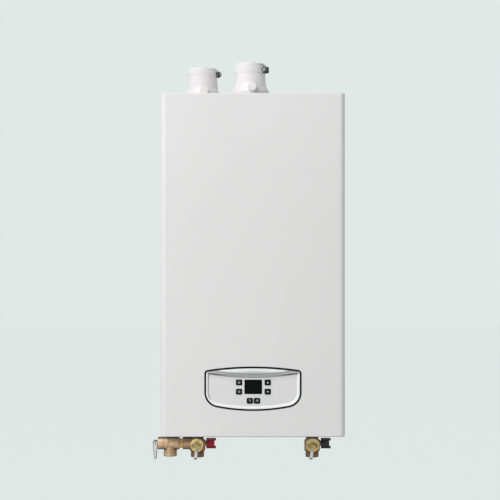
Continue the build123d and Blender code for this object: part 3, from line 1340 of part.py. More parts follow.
# Condensate trap: a bottle on the base plate with its drain, and the hose from the exchanger
hose_top = PRIMARY_TOP + HOSE_HIGH
hose_low = BASE_TOP + HOSE_LOW
hose_x = STACK_LEFT - HOSE_OUT
with BuildPart() as condensate_trap:
    with BuildSketch(Plane.XY.offset(BASE_TOP)):
        with Locations((TRAP_X, TRAP_Y)):
            RectangleRounded(TRAP_W, TRAP_W, TRAP_EDGE_R)
    extrude(amount=TRAP_H)
    with BuildSketch(Plane.XY.offset(CASE_BOTTOM - DRAIN_DOWN)):
        with Locations((TRAP_X, TRAP_Y)):
            Circle(DRAIN_R)
    extrude(amount=BASE_TOP - CASE_BOTTOM + DRAIN_DOWN)
    with BuildSketch(Plane.XY.offset(FLOOR_Z)):
        with Locations((TRAP_X, TRAP_Y)):
            RegularPolygon(DRAIN_R + LOCKNUT_EDGE, 6, major_radius=False)
    extrude(amount=-LOCKNUT_T)
    with BuildSketch(Plane.XY.offset(CASE_BOTTOM - DRAIN_DOWN)):
        with Locations((TRAP_X, TRAP_Y)):
            Circle(DRAIN_BORE_R)
    extrude(amount=BASE_TOP + TRAP_H / 2 - CASE_BOTTOM + DRAIN_DOWN, mode=Mode.SUBTRACT)
    with BuildLine() as hose_path:
        FilletPolyline(
            (STACK_LEFT, HOSE_Y, hose_top),
            (hose_x, HOSE_Y, hose_top),
            (hose_x, HOSE_Y, hose_low),
            (TRAP_X - TRAP_W / 2, HOSE_Y, hose_low),
            radius=HOSE_BEND_R,
        )
    with BuildSketch(left_plane(STACK_LEFT, HOSE_Y, hose_top)):
        Circle(HOSE_R)
        Circle(HOSE_BORE_R, mode=Mode.SUBTRACT)
    sweep(path=hose_path.wires()[0])
condensate_trap.part.label = "condensate_trap"
export_step(condensate_trap.part, "parts/condensate_trap.step")

# Cable gland: a threaded sleeve clamped in the base plate between two nuts
with BuildPart() as cable_gland:
    with BuildSketch(Plane.XY.offset(CASE_BOTTOM - GLAND_DOWN)):
        with Locations((GLAND_X, GLAND_Y)):
            Circle(GLAND_R)
    extrude(amount=BASE_TOP + GLAND_NUT_T - CASE_BOTTOM + GLAND_DOWN)
    for nut_z in (FLOOR_Z - GLAND_NUT_T, BASE_TOP):
        with BuildSketch(Plane.XY.offset(nut_z)):
            with Locations((GLAND_X, GLAND_Y)):
                RegularPolygon(GLAND_NUT_R, 6, major_radius=False)
        extrude(amount=GLAND_NUT_T)
    with BuildSketch(Plane.XY.offset(CASE_BOTTOM - GLAND_DOWN)):
        with Locations((GLAND_X, GLAND_Y)):
            Circle(GLAND_BORE_R)
    extrude(amount=BASE_TOP + GLAND_NUT_T - CASE_BOTTOM + GLAND_DOWN, mode=Mode.SUBTRACT)
cable_gland.part.label = "cable_gland"
export_step(cable_gland.part, "parts/cable_gland.step")

# Cold pipe: from its nipple below the base up and across into the secondary exchanger
pipe_start = BASE_TOP + PIPE_FLANGE_T
cold_end_z = PRIMARY_TOP + SECONDARY_H / 2
with BuildPart() as cold_pipe:
    with BuildSketch(Plane.XY.offset(NIPPLE_END)):
        with Locations((COLD_X, VALVE_Y)):
            Circle(NIPPLE_R)
    extrude(amount=BASE_TOP - NIPPLE_END)
    with BuildSketch(Plane.XY.offset(BASE_TOP)):
        with Locations((COLD_X, VALVE_Y)):
            Circle(PIPE_FLANGE_R)
    extrude(amount=PIPE_FLANGE_T)
    with BuildSketch(Plane.XY.offset(NIPPLE_END)):
        with Locations((COLD_X, VALVE_Y)):
            Circle(PIPE_BORE_R)
    extrude(amount=pipe_start - NIPPLE_END, mode=Mode.SUBTRACT)
    with BuildLine() as cold_path:
        FilletPolyline(
            (COLD_X, VALVE_Y, pipe_start),
            (COLD_X, VALVE_Y, cold_end_z),
            (STACK_RIGHT, VALVE_Y, cold_end_z),
            radius=PIPE_END_R,
        )
    with BuildSketch(Plane.XY.offset(pipe_start)):
        with Locations((COLD_X, VALVE_Y)):
            Circle(PIPE_R)
            Circle(PIPE_BORE_R, mode=Mode.SUBTRACT)
    sweep(path=cold_path.wires()[0])
cold_pipe.part.label = "cold_pipe"
export_step(cold_pipe.part, "parts/cold_pipe.step")

# Hot pipe: from the primary exchanger's left side down and across to its nipple
hot_end_z = BURNER_TOP + PRIMARY_H / 2
hot_side_x = STACK_LEFT - HOT_SIDE_GAP
with BuildPart() as hot_pipe:
    with BuildSketch(Plane.XY.offset(NIPPLE_END)):
        with Locations((HOT_X, VALVE_Y)):
            Circle(NIPPLE_R)
    extrude(amount=BASE_TOP - NIPPLE_END)
    with BuildSketch(Plane.XY.offset(BASE_TOP)):
        with Locations((HOT_X, VALVE_Y)):
            Circle(PIPE_FLANGE_R)
    extrude(amount=PIPE_FLANGE_T)
    with BuildSketch(Plane.XY.offset(NIPPLE_END)):
        with Locations((HOT_X, VALVE_Y)):
            Circle(PIPE_BORE_R)
    extrude(amount=pipe_start - NIPPLE_END, mode=Mode.SUBTRACT)
    with BuildLine() as hot_path:
        FilletPolyline(
            (HOT_X, VALVE_Y, pipe_start),
            (HOT_X, VALVE_Y, BASE_TOP + HOT_JOG_LOW),
            (hot_side_x, VALVE_Y, BASE_TOP + HOT_JOG_HIGH),
            (hot_side_x, VALVE_Y, hot_end_z),
            (STACK_LEFT, VALVE_Y, hot_end_z),
            radius=(PIPE_JOG_R, PIPE_JOG_R, PIPE_END_R),
        )
    with BuildSketch(Plane.XY.offset(pipe_start)):
        with Locations((HOT_X, VALVE_Y)):
            Circle(PIPE_R)
            Circle(PIPE_BORE_R, mode=Mode.SUBTRACT)
    sweep(path=hot_path.wires()[0])
hot_pipe.part.label = "hot_pipe"
export_step(hot_pipe.part, "parts/hot_pipe.step")

# Flow sensor: a sleeve round the cold pipe with a plug cap at the front
with BuildPart() as flow_sensor:
    with BuildSketch(Plane.XY.offset(BASE_TOP + SENSOR_UP)):
        with Locations((COLD_X, VALVE_Y)):
            Circle(SENSOR_R)
        with Locations((COLD_X, VALVE_Y - SENSOR_CAP_OUT / 2)):
            Rectangle(SENSOR_CAP_W, SENSOR_CAP_OUT)
        with Locations((COLD_X, VALVE_Y)):
            Circle(PIPE_R + SENSOR_FIT, mode=Mode.SUBTRACT)
    extrude(amount=SENSOR_LONG)
flow_sensor.part.label = "flow_sensor"
export_step(flow_sensor.part, "parts/flow_sensor.step")


def valve_body(axis_x, has_side_port):
    """A ball valve's body: tail, drum and threaded port on Z, a boss to the front and a purge boss."""
    up = Plane(origin=(axis_x, VALVE_Y, VALVE_Z))
    front = front_plane(VALVE_Y, axis_x, VALVE_Z)
    with BuildPart() as body:
        with BuildSketch(up.offset(-VALVE_HIP)):
            Circle(VALVE_R)
        extrude(amount=VALVE_HIP + VALVE_SHOULDER)
        fillet(body.edges().filter_by(GeomType.CIRCLE), VALVE_EDGE_R)
        with BuildSketch(up.offset(-PORT_DOWN)):
            Circle(PORT_R)
        extrude(amount=PORT_DOWN)
        fillet(body.faces().sort_by(Axis.Z)[0].edges(), VALVE_EDGE_R / 2)
        with BuildSketch(up):
            Circle(NECK_R)
        extrude(amount=NECK_UP)
        with BuildSketch(up):
            Circle(TAIL_R)
        extrude(amount=TAIL_UP)
        with BuildSketch(up.offset(TAIL_UP - TAIL_LIP_T)):
            Circle(TAIL_LIP_R)
        extrude(amount=TAIL_LIP_T)
        with BuildSketch(front):
            Circle(FRONT_BOSS_R)
        extrude(amount=FRONT_BOSS_OUT)
        with BuildSketch(side_plane(axis_x, VALVE_Y, VALVE_Z)):
            Circle(PURGE_BOSS_R)
        extrude(amount=PURGE_BOSS_OUT)
        if has_side_port:
            with BuildSketch(left_plane(axis_x, VALVE_Y, VALVE_Z)):
                Circle(SIDE_PORT_R)
            extrude(amount=SIDE_PORT_OUT)
        with BuildSketch(up.offset(-PORT_DOWN)):
            Circle(WATERWAY_R)
        extrude(amount=PORT_DOWN + TAIL_UP, mode=Mode.SUBTRACT)
        with BuildSketch(up.offset(-PORT_DOWN)):
            Circle(PORT_THREAD_R)
        extrude(amount=PORT_THREAD_LONG, mode=Mode.SUBTRACT)
        with BuildSketch(up.offset(-SEAT_OUT)):
            Circle(SEAT_R + SEAT_FIT)
        extrude(amount=2 * SEAT_OUT, mode=Mode.SUBTRACT)
        with BuildSketch(front.offset(-CAVITY_R)):
            Circle(CAVITY_R)
        extrude(amount=CAVITY_R + FRONT_BOSS_OUT, mode=Mode.SUBTRACT)
        with BuildSketch(side_plane(axis_x, VALVE_Y, VALVE_Z)):
            Circle(PURGE_WAY_R)
        extrude(amount=PURGE_BOSS_OUT, mode=Mode.SUBTRACT)
        with BuildSketch(side_plane(axis_x + PURGE_BOSS_OUT - PURGE_NECK_IN, VALVE_Y, VALVE_Z)):
            Circle(PURGE_NECK_R + SEAT_FIT)
        extrude(amount=PURGE_NECK_IN, mode=Mode.SUBTRACT)
        if has_side_port:
            with BuildSketch(left_plane(axis_x, VALVE_Y, VALVE_Z)):
                Circle(SIDE_WAY_R)
            extrude(amount=SIDE_PORT_OUT, mode=Mode.SUBTRACT)
            with BuildSketch(left_plane(axis_x - SIDE_PORT_OUT + LINK_IN, VALVE_Y, VALVE_Z)):
                Circle(LINK_R + LINK_CLEAR)
            extrude(amount=LINK_IN, mode=Mode.SUBTRACT)
    return body


def valve_ball(axis_x):
    """The ball with its waterway, a way to one side of it and the stem that the lever turns."""
    front = front_plane(VALVE_Y, axis_x, VALVE_Z)
    with BuildPart() as ball:
        with Locations((axis_x, VALVE_Y, VALVE_Z)):
            Sphere(BALL_R)
        with BuildSketch(front):
            Circle(STEM_R)
        extrude(amount=VALVE_Y - LEVER_BACK + LEVER_T)
        with BuildSketch(Plane(origin=(axis_x, VALVE_Y, VALVE_Z - BALL_R))):
            Circle(WATERWAY_R)
        extrude(amount=2 * BALL_R, mode=Mode.SUBTRACT)
        with BuildSketch(left_plane(axis_x, VALVE_Y, VALVE_Z)):
            Circle(SIDE_WAY_R)
        extrude(amount=BALL_R, mode=Mode.SUBTRACT)
    return ball


def valve_lever(axis_x, lean):
    """The bent lever on the stem's end with its nut, hanging down and leaning to the left."""
    lean_angle = radians(lean)
    across = (cos(lean_angle), 0, -sin(lean_angle))
    lever_mid = LEVER_BACK - LEVER_T / 2
    side = Plane(origin=(axis_x, lever_mid, VALVE_Z), x_dir=(0, -1, 0), z_dir=across)
    face = Plane(origin=(axis_x, LEVER_BACK, VALVE_Z), x_dir=across, z_dir=(0, -1, 0))
    tip_down = LEVER_LONG - LEVER_TIP_LONG
    with BuildPart() as lever:
        with BuildLine(side) as lever_path:
            FilletPolyline(
                (0, 0),
                (0, LEVER_STEP_DOWN),
                (LEVER_STEP_OUT, LEVER_STEP_DOWN + LEVER_STEP_OUT),
                (LEVER_STEP_OUT, tip_down),
                (LEVER_STEP_OUT - LEVER_TIP_BACK, LEVER_LONG),
                radius=LEVER_BEND_R,
            )
        down = Vector(-sin(lean_angle), 0, -cos(lean_angle))
        with BuildSketch(Plane(origin=(axis_x, lever_mid, VALVE_Z), x_dir=across, z_dir=down)):
            Rectangle(LEVER_W, LEVER_T)
        sweep(path=lever_path.wires()[0])
        with BuildSketch(face):
            Circle(LEVER_HUB_R)
        extrude(amount=LEVER_T)
        with BuildSketch(face):
            with BuildLine():
                Polyline(
                    (-LEVER_NECK_W / 2, 0),
                    (LEVER_NECK_W / 2, 0),
                    (LEVER_W / 2, -tip_down),
                    (LEVER_W / 2, -LEVER_LONG),
                    (-LEVER_W / 2, -LEVER_LONG),
                    (-LEVER_W / 2, -tip_down),
                    (-LEVER_NECK_W / 2, 0),
                )
            make_face()
            Circle(LEVER_HUB_R)
        extrude(amount=LEVER_STEP_OUT + LEVER_T, mode=Mode.INTERSECT)
        with BuildSketch(face):
            Circle(STEM_R + LEVER_FIT)
        extrude(amount=LEVER_T, mode=Mode.SUBTRACT)
        with BuildSketch(face.offset(LEVER_T)):
            RegularPolygon(LEVER_NUT_HEX / 2, 6, major_radius=False)
        extrude(amount=LEVER_NUT_T)
    return lever


def purge_knob(axis_x):
    """A wing knob on the purge stem: a hub with a web above and below that ends in two longer wings."""
    knob_left = axis_x + PURGE_NECK_OUT + REST_GAP
    side = side_plane(knob_left, VALVE_Y, VALVE_Z)
    with BuildPart() as knob:
        with BuildSketch(side):
            Circle(KNOB_HUB_R)
            Rectangle(KNOB_WEB_T, KNOB_H - KNOB_WING_T)
        extrude(amount=KNOB_HUB_LONG)
        with BuildSketch(side):
            with GridLocations(1, KNOB_H - KNOB_WING_T, 1, 2):
                Rectangle(KNOB_WING_W, KNOB_WING_T)
        extrude(amount=KNOB_LONG)
        fillet(knob.faces().sort_by(Axis.X)[-1].edges(), KNOB_EDGE_R)
        with BuildSketch(side):
            Circle(PURGE_STEM_R + PURGE_STEM_CLEAR)
        extrude(amount=PURGE_STEM_LONG, mode=Mode.SUBTRACT)
    return knob


# Hot and cold valves, their balls, levers and purge knobs
for valve, axis_x, lean in (("hot", HOT_X, HOT_LEAN), ("cold", COLD_X, COLD_LEAN)):
    body = valve_body(axis_x, valve == "hot")
    body.part.label = f"{valve}_valve_body"
    export_step(body.part, f"parts/{valve}_valve_body.step")
    ball = valve_ball(axis_x)
    ball.part.label = f"{valve}_valve_ball"
    export_step(ball.part, f"parts/{valve}_valve_ball.step")
    lever = valve_lever(axis_x, lean)
    lever.part.label = f"{valve}_lever"
    export_step(lever.part, f"parts/{valve}_lever.step")
    knob = purge_knob(axis_x)
    knob.part.label = f"{valve}_purge_knob"
    export_step(knob.part, f"parts/{valve}_purge_knob.step")

# Valve bonnets: the round brass plugs that hold the balls in, dished round a small hub
with BuildPart() as valve_bonnets:
    for axis_x in (HOT_X, COLD_X):
        with BuildSketch(front_plane(BONNET_BACK, axis_x, VALVE_Z)):
            Circle(BONNET_R)
        extrude(amount=BONNET_T - BONNET_EDGE)
        with BuildSketch(front_plane(BONNET_FRONT + BONNET_EDGE, axis_x, VALVE_Z)):
            Circle(BONNET_R)
        extrude(amount=BONNET_EDGE, taper=BONNET_EDGE_ANGLE)
        with BuildSketch(front_plane(BONNET_FRONT, axis_x, VALVE_Z)):
            Circle(BONNET_DISH_R)
        extrude(amount=-BONNET_DISH, mode=Mode.SUBTRACT)
        with BuildSketch(front_plane(BONNET_FRONT + BONNET_DISH, axis_x, VALVE_Z)):
            Circle(BONNET_HUB_R)
        extrude(amount=BONNET_DISH + BONNET_HUB_OUT)
        with BuildSketch(front_plane(BONNET_BACK, axis_x, VALVE_Z)):
            Circle(CAVITY_R - BONNET_FIT)
        extrude(amount=-BONNET_PLUG)
        with BuildSketch(front_plane(BONNET_BACK + BONNET_PLUG, axis_x, VALVE_Z)):
            Circle(STEM_R + STEM_CLEAR)
        extrude(amount=BONNET_PLUG + BONNET_T + BONNET_HUB_OUT, mode=Mode.SUBTRACT)
valve_bonnets.part.label = "valve_bonnets"
export_step(valve_bonnets.part, "parts/valve_bonnets.step")

# Valve seats: a ring above and below each ball
seat_in = BALL_R + BALL_CLEAR
with BuildPart() as valve_seats:
    for axis_x in (HOT_X, COLD_X):
        with BuildSketch(Plane(origin=(axis_x, VALVE_Y, VALVE_Z - SEAT_OUT))):
            Circle(SEAT_R)
            Circle(WATERWAY_R, mode=Mode.SUBTRACT)
        extrude(amount=2 * SEAT_OUT)
        with Locations((axis_x, VALVE_Y, VALVE_Z)):
            Sphere(seat_in, mode=Mode.SUBTRACT)
valve_seats.part.label = "valve_seats"
export_step(valve_seats.part, "parts/valve_seats.step")

# Union nuts: they draw each valve's tail against its nipple
with BuildPart() as union_nuts:
    for axis_x in (HOT_X, COLD_X):
        with BuildSketch(Plane(origin=(axis_x, VALVE_Y, NUT_BOTTOM))):
            RegularPolygon(NUT_HEX / 2, 6, major_radius=False)
            Circle(TAIL_R + NUT_CLEAR, mode=Mode.SUBTRACT)
        extrude(amount=NUT_TOP - NUT_BOTTOM)
        with BuildSketch(Plane(origin=(axis_x, VALVE_Y, NUT_BOTTOM + NUT_FLOOR))):
            Circle(NIPPLE_R + NUT_CLEAR)
        extrude(amount=NUT_TOP - NUT_BOTTOM, mode=Mode.SUBTRACT)
union_nuts.part.label = "union_nuts"
export_step(union_nuts.part, "parts/union_nuts.step")

# Purge stems: a brass neck in each valve's boss with the shaft that the knob turns on
with BuildPart() as purge_stems:
    for axis_x in (HOT_X, COLD_X):
        with BuildSketch(side_plane(axis_x + PURGE_BOSS_OUT - PURGE_NECK_IN, VALVE_Y, VALVE_Z)):
            Circle(PURGE_NECK_R)
        extrude(amount=PURGE_NECK_OUT - PURGE_BOSS_OUT + PURGE_NECK_IN)
        with BuildSketch(side_plane(axis_x + PURGE_NECK_OUT, VALVE_Y, VALVE_Z)):
            Circle(PURGE_STEM_R)
        extrude(amount=PURGE_STEM_LONG)
purge_stems.part.label = "purge_stems"
export_step(purge_stems.part, "parts/purge_stems.step")

# Relief nipple: a hexagon with a thread each way
with BuildPart() as relief_nipple:
    with BuildSketch(left_plane(HOT_X - SIDE_PORT_OUT + LINK_IN, VALVE_Y, VALVE_Z)):
        Circle(LINK_R)
    extrude(amount=2 * LINK_IN + LINK_HEX_LONG)
    with BuildSketch(left_plane(HOT_X - SIDE_PORT_OUT, VALVE_Y, VALVE_Z)):
        RegularPolygon(LINK_HEX / 2, 6, major_radius=False)
    extrude(amount=LINK_HEX_LONG)
    with BuildSketch(left_plane(HOT_X - SIDE_PORT_OUT + LINK_IN, VALVE_Y, VALVE_Z)):
        Circle(LINK_BORE_R)
    extrude(amount=2 * LINK_IN + LINK_HEX_LONG, mode=Mode.SUBTRACT)
relief_nipple.part.label = "relief_nipple"
export_step(relief_nipple.part, "parts/relief_nipple.step")

# Relief body: a level drum with its seat inside and its outlet pointing down
with BuildPart() as relief_body:
    with BuildSketch(left_plane(RELIEF_RIGHT, VALVE_Y, VALVE_Z)):
        Circle(RELIEF_R)
    extrude(amount=RELIEF_LONG)
    fillet(relief_body.edges().filter_by(GeomType.CIRCLE), RELIEF_EDGE_R)
    with BuildSketch(Plane(origin=(OUTLET_X, VALVE_Y, VALVE_Z - OUTLET_DOWN))):
        Circle(OUTLET_NECK_R)
    extrude(amount=OUTLET_DOWN)
    with BuildSketch(Plane(origin=(OUTLET_X, VALVE_Y, VALVE_Z - OUTLET_DOWN))):
        Circle(PORT_R)
    extrude(amount=OUTLET_COLLAR_H)
    fillet(relief_body.faces().sort_by(Axis.Z)[0].edges(), VALVE_EDGE_R / 2)
    with BuildSketch(left_plane(RELIEF_RIGHT, VALVE_Y, VALVE_Z)):
        Circle(LINK_R + LINK_CLEAR)
    extrude(amount=LINK_IN, mode=Mode.SUBTRACT)
    with BuildSketch(left_plane(RELIEF_RIGHT, VALVE_Y, VALVE_Z)):
        Circle(RELIEF_SEAT_R)
    extrude(amount=RELIEF_LONG, mode=Mode.SUBTRACT)
    with BuildSketch(left_plane(RELIEF_SEAT_X, VALVE_Y, VALVE_Z)):
        Circle(RELIEF_CHAMBER_R)
    extrude(amount=RELIEF_SEAT_X - RELIEF_LEFT, mode=Mode.SUBTRACT)
    with BuildSketch(Plane(origin=(OUTLET_X, VALVE_Y, VALVE_Z - OUTLET_DOWN))):
        Circle(WATERWAY_R)
    extrude(amount=OUTLET_DOWN, mode=Mode.SUBTRACT)
    with BuildSketch(Plane(origin=(OUTLET_X, VALVE_Y, VALVE_Z - OUTLET_DOWN))):
        Circle(PORT_THREAD_R)
    extrude(amount=PORT_THREAD_LONG, mode=Mode.SUBTRACT)
relief_body.part.label = "relief_body"
export_step(relief_body.part, "parts/relief_body.step")

# Relief bonnet: screws into the body's left end and holds the spring
with BuildPart() as relief_bonnet:
    with BuildSketch(left_plane(RELIEF_LEFT + RELIEF_PLUG, VALVE_Y, VALVE_Z)):
        Circle(RELIEF_CHAMBER_R - RELIEF_PLUG_FIT)
    extrude(amount=RELIEF_PLUG)
    with BuildSketch(left_plane(RELIEF_LEFT, VALVE_Y, VALVE_Z)):
        Circle(RELIEF_SEAM_R)
    extrude(amount=RELIEF_SEAM)
    with BuildSketch(left_plane(RELIEF_LEFT - RELIEF_SEAM, VALVE_Y, VALVE_Z)):
        Circle(RELIEF_BONNET_R)
    extrude(amount=RELIEF_BONNET_LONG)
    fillet(relief_bonnet.faces().sort_by(Axis.X)[0].edges(), RELIEF_EDGE_R)
    with BuildSketch(left_plane(RELIEF_LEFT + RELIEF_PLUG, VALVE_Y, VALVE_Z)):
        Circle(RELIEF_SPRING_ROOM_R)
    extrude(amount=SPRING_PLATE_X - SPRING_ROOM_END, mode=Mode.SUBTRACT)
    with BuildSketch(left_plane(RELIEF_LEFT, VALVE_Y, VALVE_Z)):
        Circle(RELIEF_STEM_R + RELIEF_STEM_CLEAR)
    extrude(amount=RELIEF_LEFT - RELIEF_END, mode=Mode.SUBTRACT)
relief_bonnet.part.label = "relief_bonnet"
export_step(relief_bonnet.part, "parts/relief_bonnet.step")

# Relief stem: disc, rod and spring plate, with an eye and cross pin at its outer end
with BuildPart() as relief_stem:
    with BuildSketch(left_plane(RELIEF_SEAT_X - REST_GAP, VALVE_Y, VALVE_Z)):
        Circle(DISC_R)
    extrude(amount=DISC_T)
    with BuildSketch(left_plane(RELIEF_SEAT_X - REST_GAP, VALVE_Y, VALVE_Z)):
        Circle(RELIEF_STEM_R)
    extrude(amount=RELIEF_SEAT_X - REST_GAP - RELIEF_PIN_X)
    with BuildSketch(left_plane(SPRING_PLATE_X, VALVE_Y, VALVE_Z)):
        Circle(SPRING_PLATE_R)
    extrude(amount=SPRING_PLATE_T)
    with BuildSketch(front_plane(VALVE_Y + RELIEF_EYE_T / 2, RELIEF_PIN_X, VALVE_Z)):
        Circle(RELIEF_EYE_R)
    extrude(amount=RELIEF_EYE_T)
    pin_half = RELIEF_STEM_R + CHEEK_GAP + CHEEK_T + REST_GAP
    with BuildSketch(front_plane(VALVE_Y + pin_half, RELIEF_PIN_X, VALVE_Z)):
        Circle(RELIEF_PIN_R)
    extrude(amount=2 * pin_half)
relief_stem.part.label = "relief_stem"
export_step(relief_stem.part, "parts/relief_stem.step")

# Relief spring: a coil between the stem's plate and the bonnet's end
spring_start = SPRING_PLATE_X - SPRING_PLATE_T - SPRING_WIRE_R - SPRING_END_GAP
spring_long = spring_start - SPRING_ROOM_END - SPRING_WIRE_R - SPRING_END_GAP
with BuildPart() as relief_spring:
    with BuildLine() as spring_path:
        Helix(
            pitch=spring_long / SPRING_TURNS,
            height=spring_long,
            radius=SPRING_R,
            center=(spring_start, VALVE_Y, VALVE_Z),
            direction=(-1, 0, 0),
        )
    with BuildSketch(Plane(origin=spring_path.line @ 0, z_dir=spring_path.line % 0)):
        Circle(SPRING_WIRE_R)
    sweep(path=spring_path.wires()[0], is_frenet=True)
relief_spring.part.label = "relief_spring"
export_step(relief_spring.part, "parts/relief_spring.step")

# Relief lever: two cheeks on the cross pin whose round heads lift the stem, joined by a web behind
cheek_in = RELIEF_STEM_R + CHEEK_GAP
cheek_out = cheek_in + CHEEK_T
with BuildSketch() as cheek_shape:
    with Locations((0, CHEEK_CAM)):
        Circle(CHEEK_R)
    Circle(CHEEK_R)
    with Locations((0, -CHEEK_TIP_DOWN)):
        Circle(CHEEK_TIP_R)
    make_hull()
with BuildPart() as relief_lever:
    with BuildSketch(front_plane(VALVE_Y + cheek_out, RELIEF_PIN_X, VALVE_Z)):
        add(cheek_shape.sketch)
    extrude(amount=2 * cheek_out)
    with BuildSketch(front_plane(VALVE_Y + cheek_in, RELIEF_PIN_X + CHEEK_WEB, VALVE_Z)):
        add(cheek_shape.sketch)
    extrude(amount=2 * cheek_in, mode=Mode.SUBTRACT)
    with BuildSketch(front_plane(VALVE_Y + cheek_in, RELIEF_PIN_X, VALVE_Z)):
        with Locations((0, CHEEK_CAM)):
            Rectangle(4 * CHEEK_R, 2 * (CHEEK_WEB_DOWN + CHEEK_CAM))
    extrude(amount=2 * cheek_in, mode=Mode.SUBTRACT)
    with BuildSketch(front_plane(VALVE_Y + cheek_out, RELIEF_PIN_X, VALVE_Z)):
        Circle(RELIEF_PIN_R + RELIEF_PIN_CLEAR)
    extrude(amount=2 * cheek_out, mode=Mode.SUBTRACT)
relief_lever.part.label = "relief_lever"
export_step(relief_lever.part, "parts/relief_lever.step")
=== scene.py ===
"""Looks for the wall-hung tankless water heater: materials, a few thin pieces, stage, lights and camera."""

import json
import math

import bmesh
import bpy
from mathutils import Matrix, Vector


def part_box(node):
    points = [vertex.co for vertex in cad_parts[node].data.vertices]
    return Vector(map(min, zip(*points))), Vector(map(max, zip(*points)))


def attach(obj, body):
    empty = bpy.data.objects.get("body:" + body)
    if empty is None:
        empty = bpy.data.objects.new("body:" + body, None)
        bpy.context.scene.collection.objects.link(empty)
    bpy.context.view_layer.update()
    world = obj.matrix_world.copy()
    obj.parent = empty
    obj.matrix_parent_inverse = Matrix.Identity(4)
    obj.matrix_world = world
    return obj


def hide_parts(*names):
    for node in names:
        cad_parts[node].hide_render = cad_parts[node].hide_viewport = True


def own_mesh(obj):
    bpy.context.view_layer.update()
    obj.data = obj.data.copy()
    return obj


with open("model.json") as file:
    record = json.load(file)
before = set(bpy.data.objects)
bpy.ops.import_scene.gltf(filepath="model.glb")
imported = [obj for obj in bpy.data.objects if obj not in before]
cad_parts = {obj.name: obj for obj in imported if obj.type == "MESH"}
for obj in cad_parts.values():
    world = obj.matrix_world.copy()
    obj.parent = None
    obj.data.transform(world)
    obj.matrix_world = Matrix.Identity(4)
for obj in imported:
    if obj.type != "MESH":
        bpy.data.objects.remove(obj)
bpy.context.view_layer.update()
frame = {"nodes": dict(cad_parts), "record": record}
nodes = frame["nodes"]
slots = {row["node"]: row["material_slot"] for row in frame["record"]["subparts"]}
joints = {row["name"]: row for row in frame["record"]["behaviour"]["joints"]}

# Places and sizes in the object's frame, in metres
CASE_BOTTOM = -0.760
CASE_FRONT = -0.310

# Control panel: the visor's two curves are given by their depth below the panel's top and their radius
PANEL_Z = CASE_BOTTOM + 0.118
PANEL_TOP = PANEL_Z + 0.0533
PANEL_FACE = -0.3095
RIM_FRONT = -0.3118
POCKET_HALF = 0.1108
BROWS = ((0.0185, 0.47), (0.0261, 0.655))
BROW_SHADE_UP, BROW_SHADE_FALL, BROW_SHADE_LEAST = 0.0136, 0.155, 0.002
FACE_SHADE_DOWN = 0.014
CREASE_HALF = 0.0009
POCKET_SIDE = (0.05, 0.06)
NEAR_PANEL_HALF = (0.14, 0.075)
KEY_FACE = PANEL_FACE - 0.0013
KEY_RIGHT = 0.001
FILM_Z = PANEL_Z - 0.006
FILM_HALF = (0.0473, 0.035)
FILM_LINE, FILM_SOFT = 0.00035, 0.00008
LCD_X, LCD_Z = 0.0006, PANEL_Z + 0.0045
LCD_HALF = (0.0165, 0.0125)

# Flue collars, the right one first: axis, painted shade line at the foot, and where the painted shadow over
# it begins and ends
COLLARS = ((-0.007, -0.190), (-0.131, -0.112))
BETWEEN_COLLARS = -0.0665
FOOT_LINE_Z = (0.0945, 0.1055)
BOSS_SHADOW_Z = ((0.1220, 0.1060), (0.1180, 0.1040))
RIM_LINE_Z = 0.1644
BAND_OUT = 0.0391
CLAMP_END_X, CLAMP_END_Z = -0.0946, 0.1530
CLAMP_END_HALF = (0.0018, 0.0075)
WORM_HEX_R = 0.0028
WORM_FLANGE_R = 0.0060

# Service valves: heights are from the valve's axis, and radii from its front axis
VALVE_Z = CASE_BOTTOM - 0.029
VALVE_XS = (-0.140, 0.149)
VALVE_TOP = (0.0105, 0.0150)
PORT_STEP = (-0.0135, -0.0155)
PORT_GROOVE = -0.0215
PORT_LIP = (-0.0315, -0.0330)
DISC_STEM_R = 0.0063
DISC_RIM_R = 0.0115
DISC_RING_TURNS = 9000.0
LEVER_NUT_R = (0.0062, 0.0075)
TIP_DOWN = 0.0293
KNOB_RIB = 0.0052
KNOB_HOLLOW = 0.0085
KNOB_WING_END = (0.0118, 0.0130)

# Relief valve's test lever
RELIEF_EYE_R = 0.0063
RELIEF_TIP_R = 0.003
RELIEF_TIP_DOWN = 0.037
RELIEF_PIN_R = (0.0022, 0.0016)

# Thin pieces made here; the symbols' stroke is in millimetres
INK_THICK = 0.00008
STROKE = 0.7
ARC_STEPS = 20
LIP_WIDE, LIP_PROUD = 0.0010, 0.0001
COIL_WIRE_R = 0.0007
COIL_INSET = COIL_WIRE_R * 1.1
COIL_TURNS, COIL_STEPS, COIL_SIDES = 5, 28, 10
ON_FRONT = 0.00001

# Stage
BACKGROUND = (0.745, 0.815, 0.791, 1.0)
WORLD_STRENGTH = 0.42
FLOOR_LEVEL = -1.85
FLOOR_HALF = 30.0
FLOOR_GLOW = 1.04
FLOOR_GLOW_SHARE = 0.9
LIT_POINT = (0.0, -0.2, -0.35)
CAMERA_PLACE = (0.0, CASE_FRONT - 3.0, -0.3424)
LENS, SENSOR = 88.5, 36.0
SHIFT_X, SHIFT_Y = -0.006, 0.032

ALONG_Y = (0, 1, 0)
UPRIGHT = (0, 0, 1)
SPREAD = (0.3, 0.7)  # where most of a noise's values lie
BSDF_INPUTS = {
    "color": "Base Color",
    "rough": "Roughness",
    "metal": "Metallic",
    "coat": "Coat Weight",
    "coat_rough": "Coat Roughness",
    "specular": "Specular IOR Level",
}


# Node helpers
def fill(tree, socket, value):
    """Links an output to a socket, or sets the socket to a number, a vector or a colour."""
    if isinstance(value, bpy.types.NodeSocket):
        tree.links.new(value, socket)
    elif socket.type == "RGBA":
        socket.default_value = (*value[:3], 1.0)
    else:
        socket.default_value = value


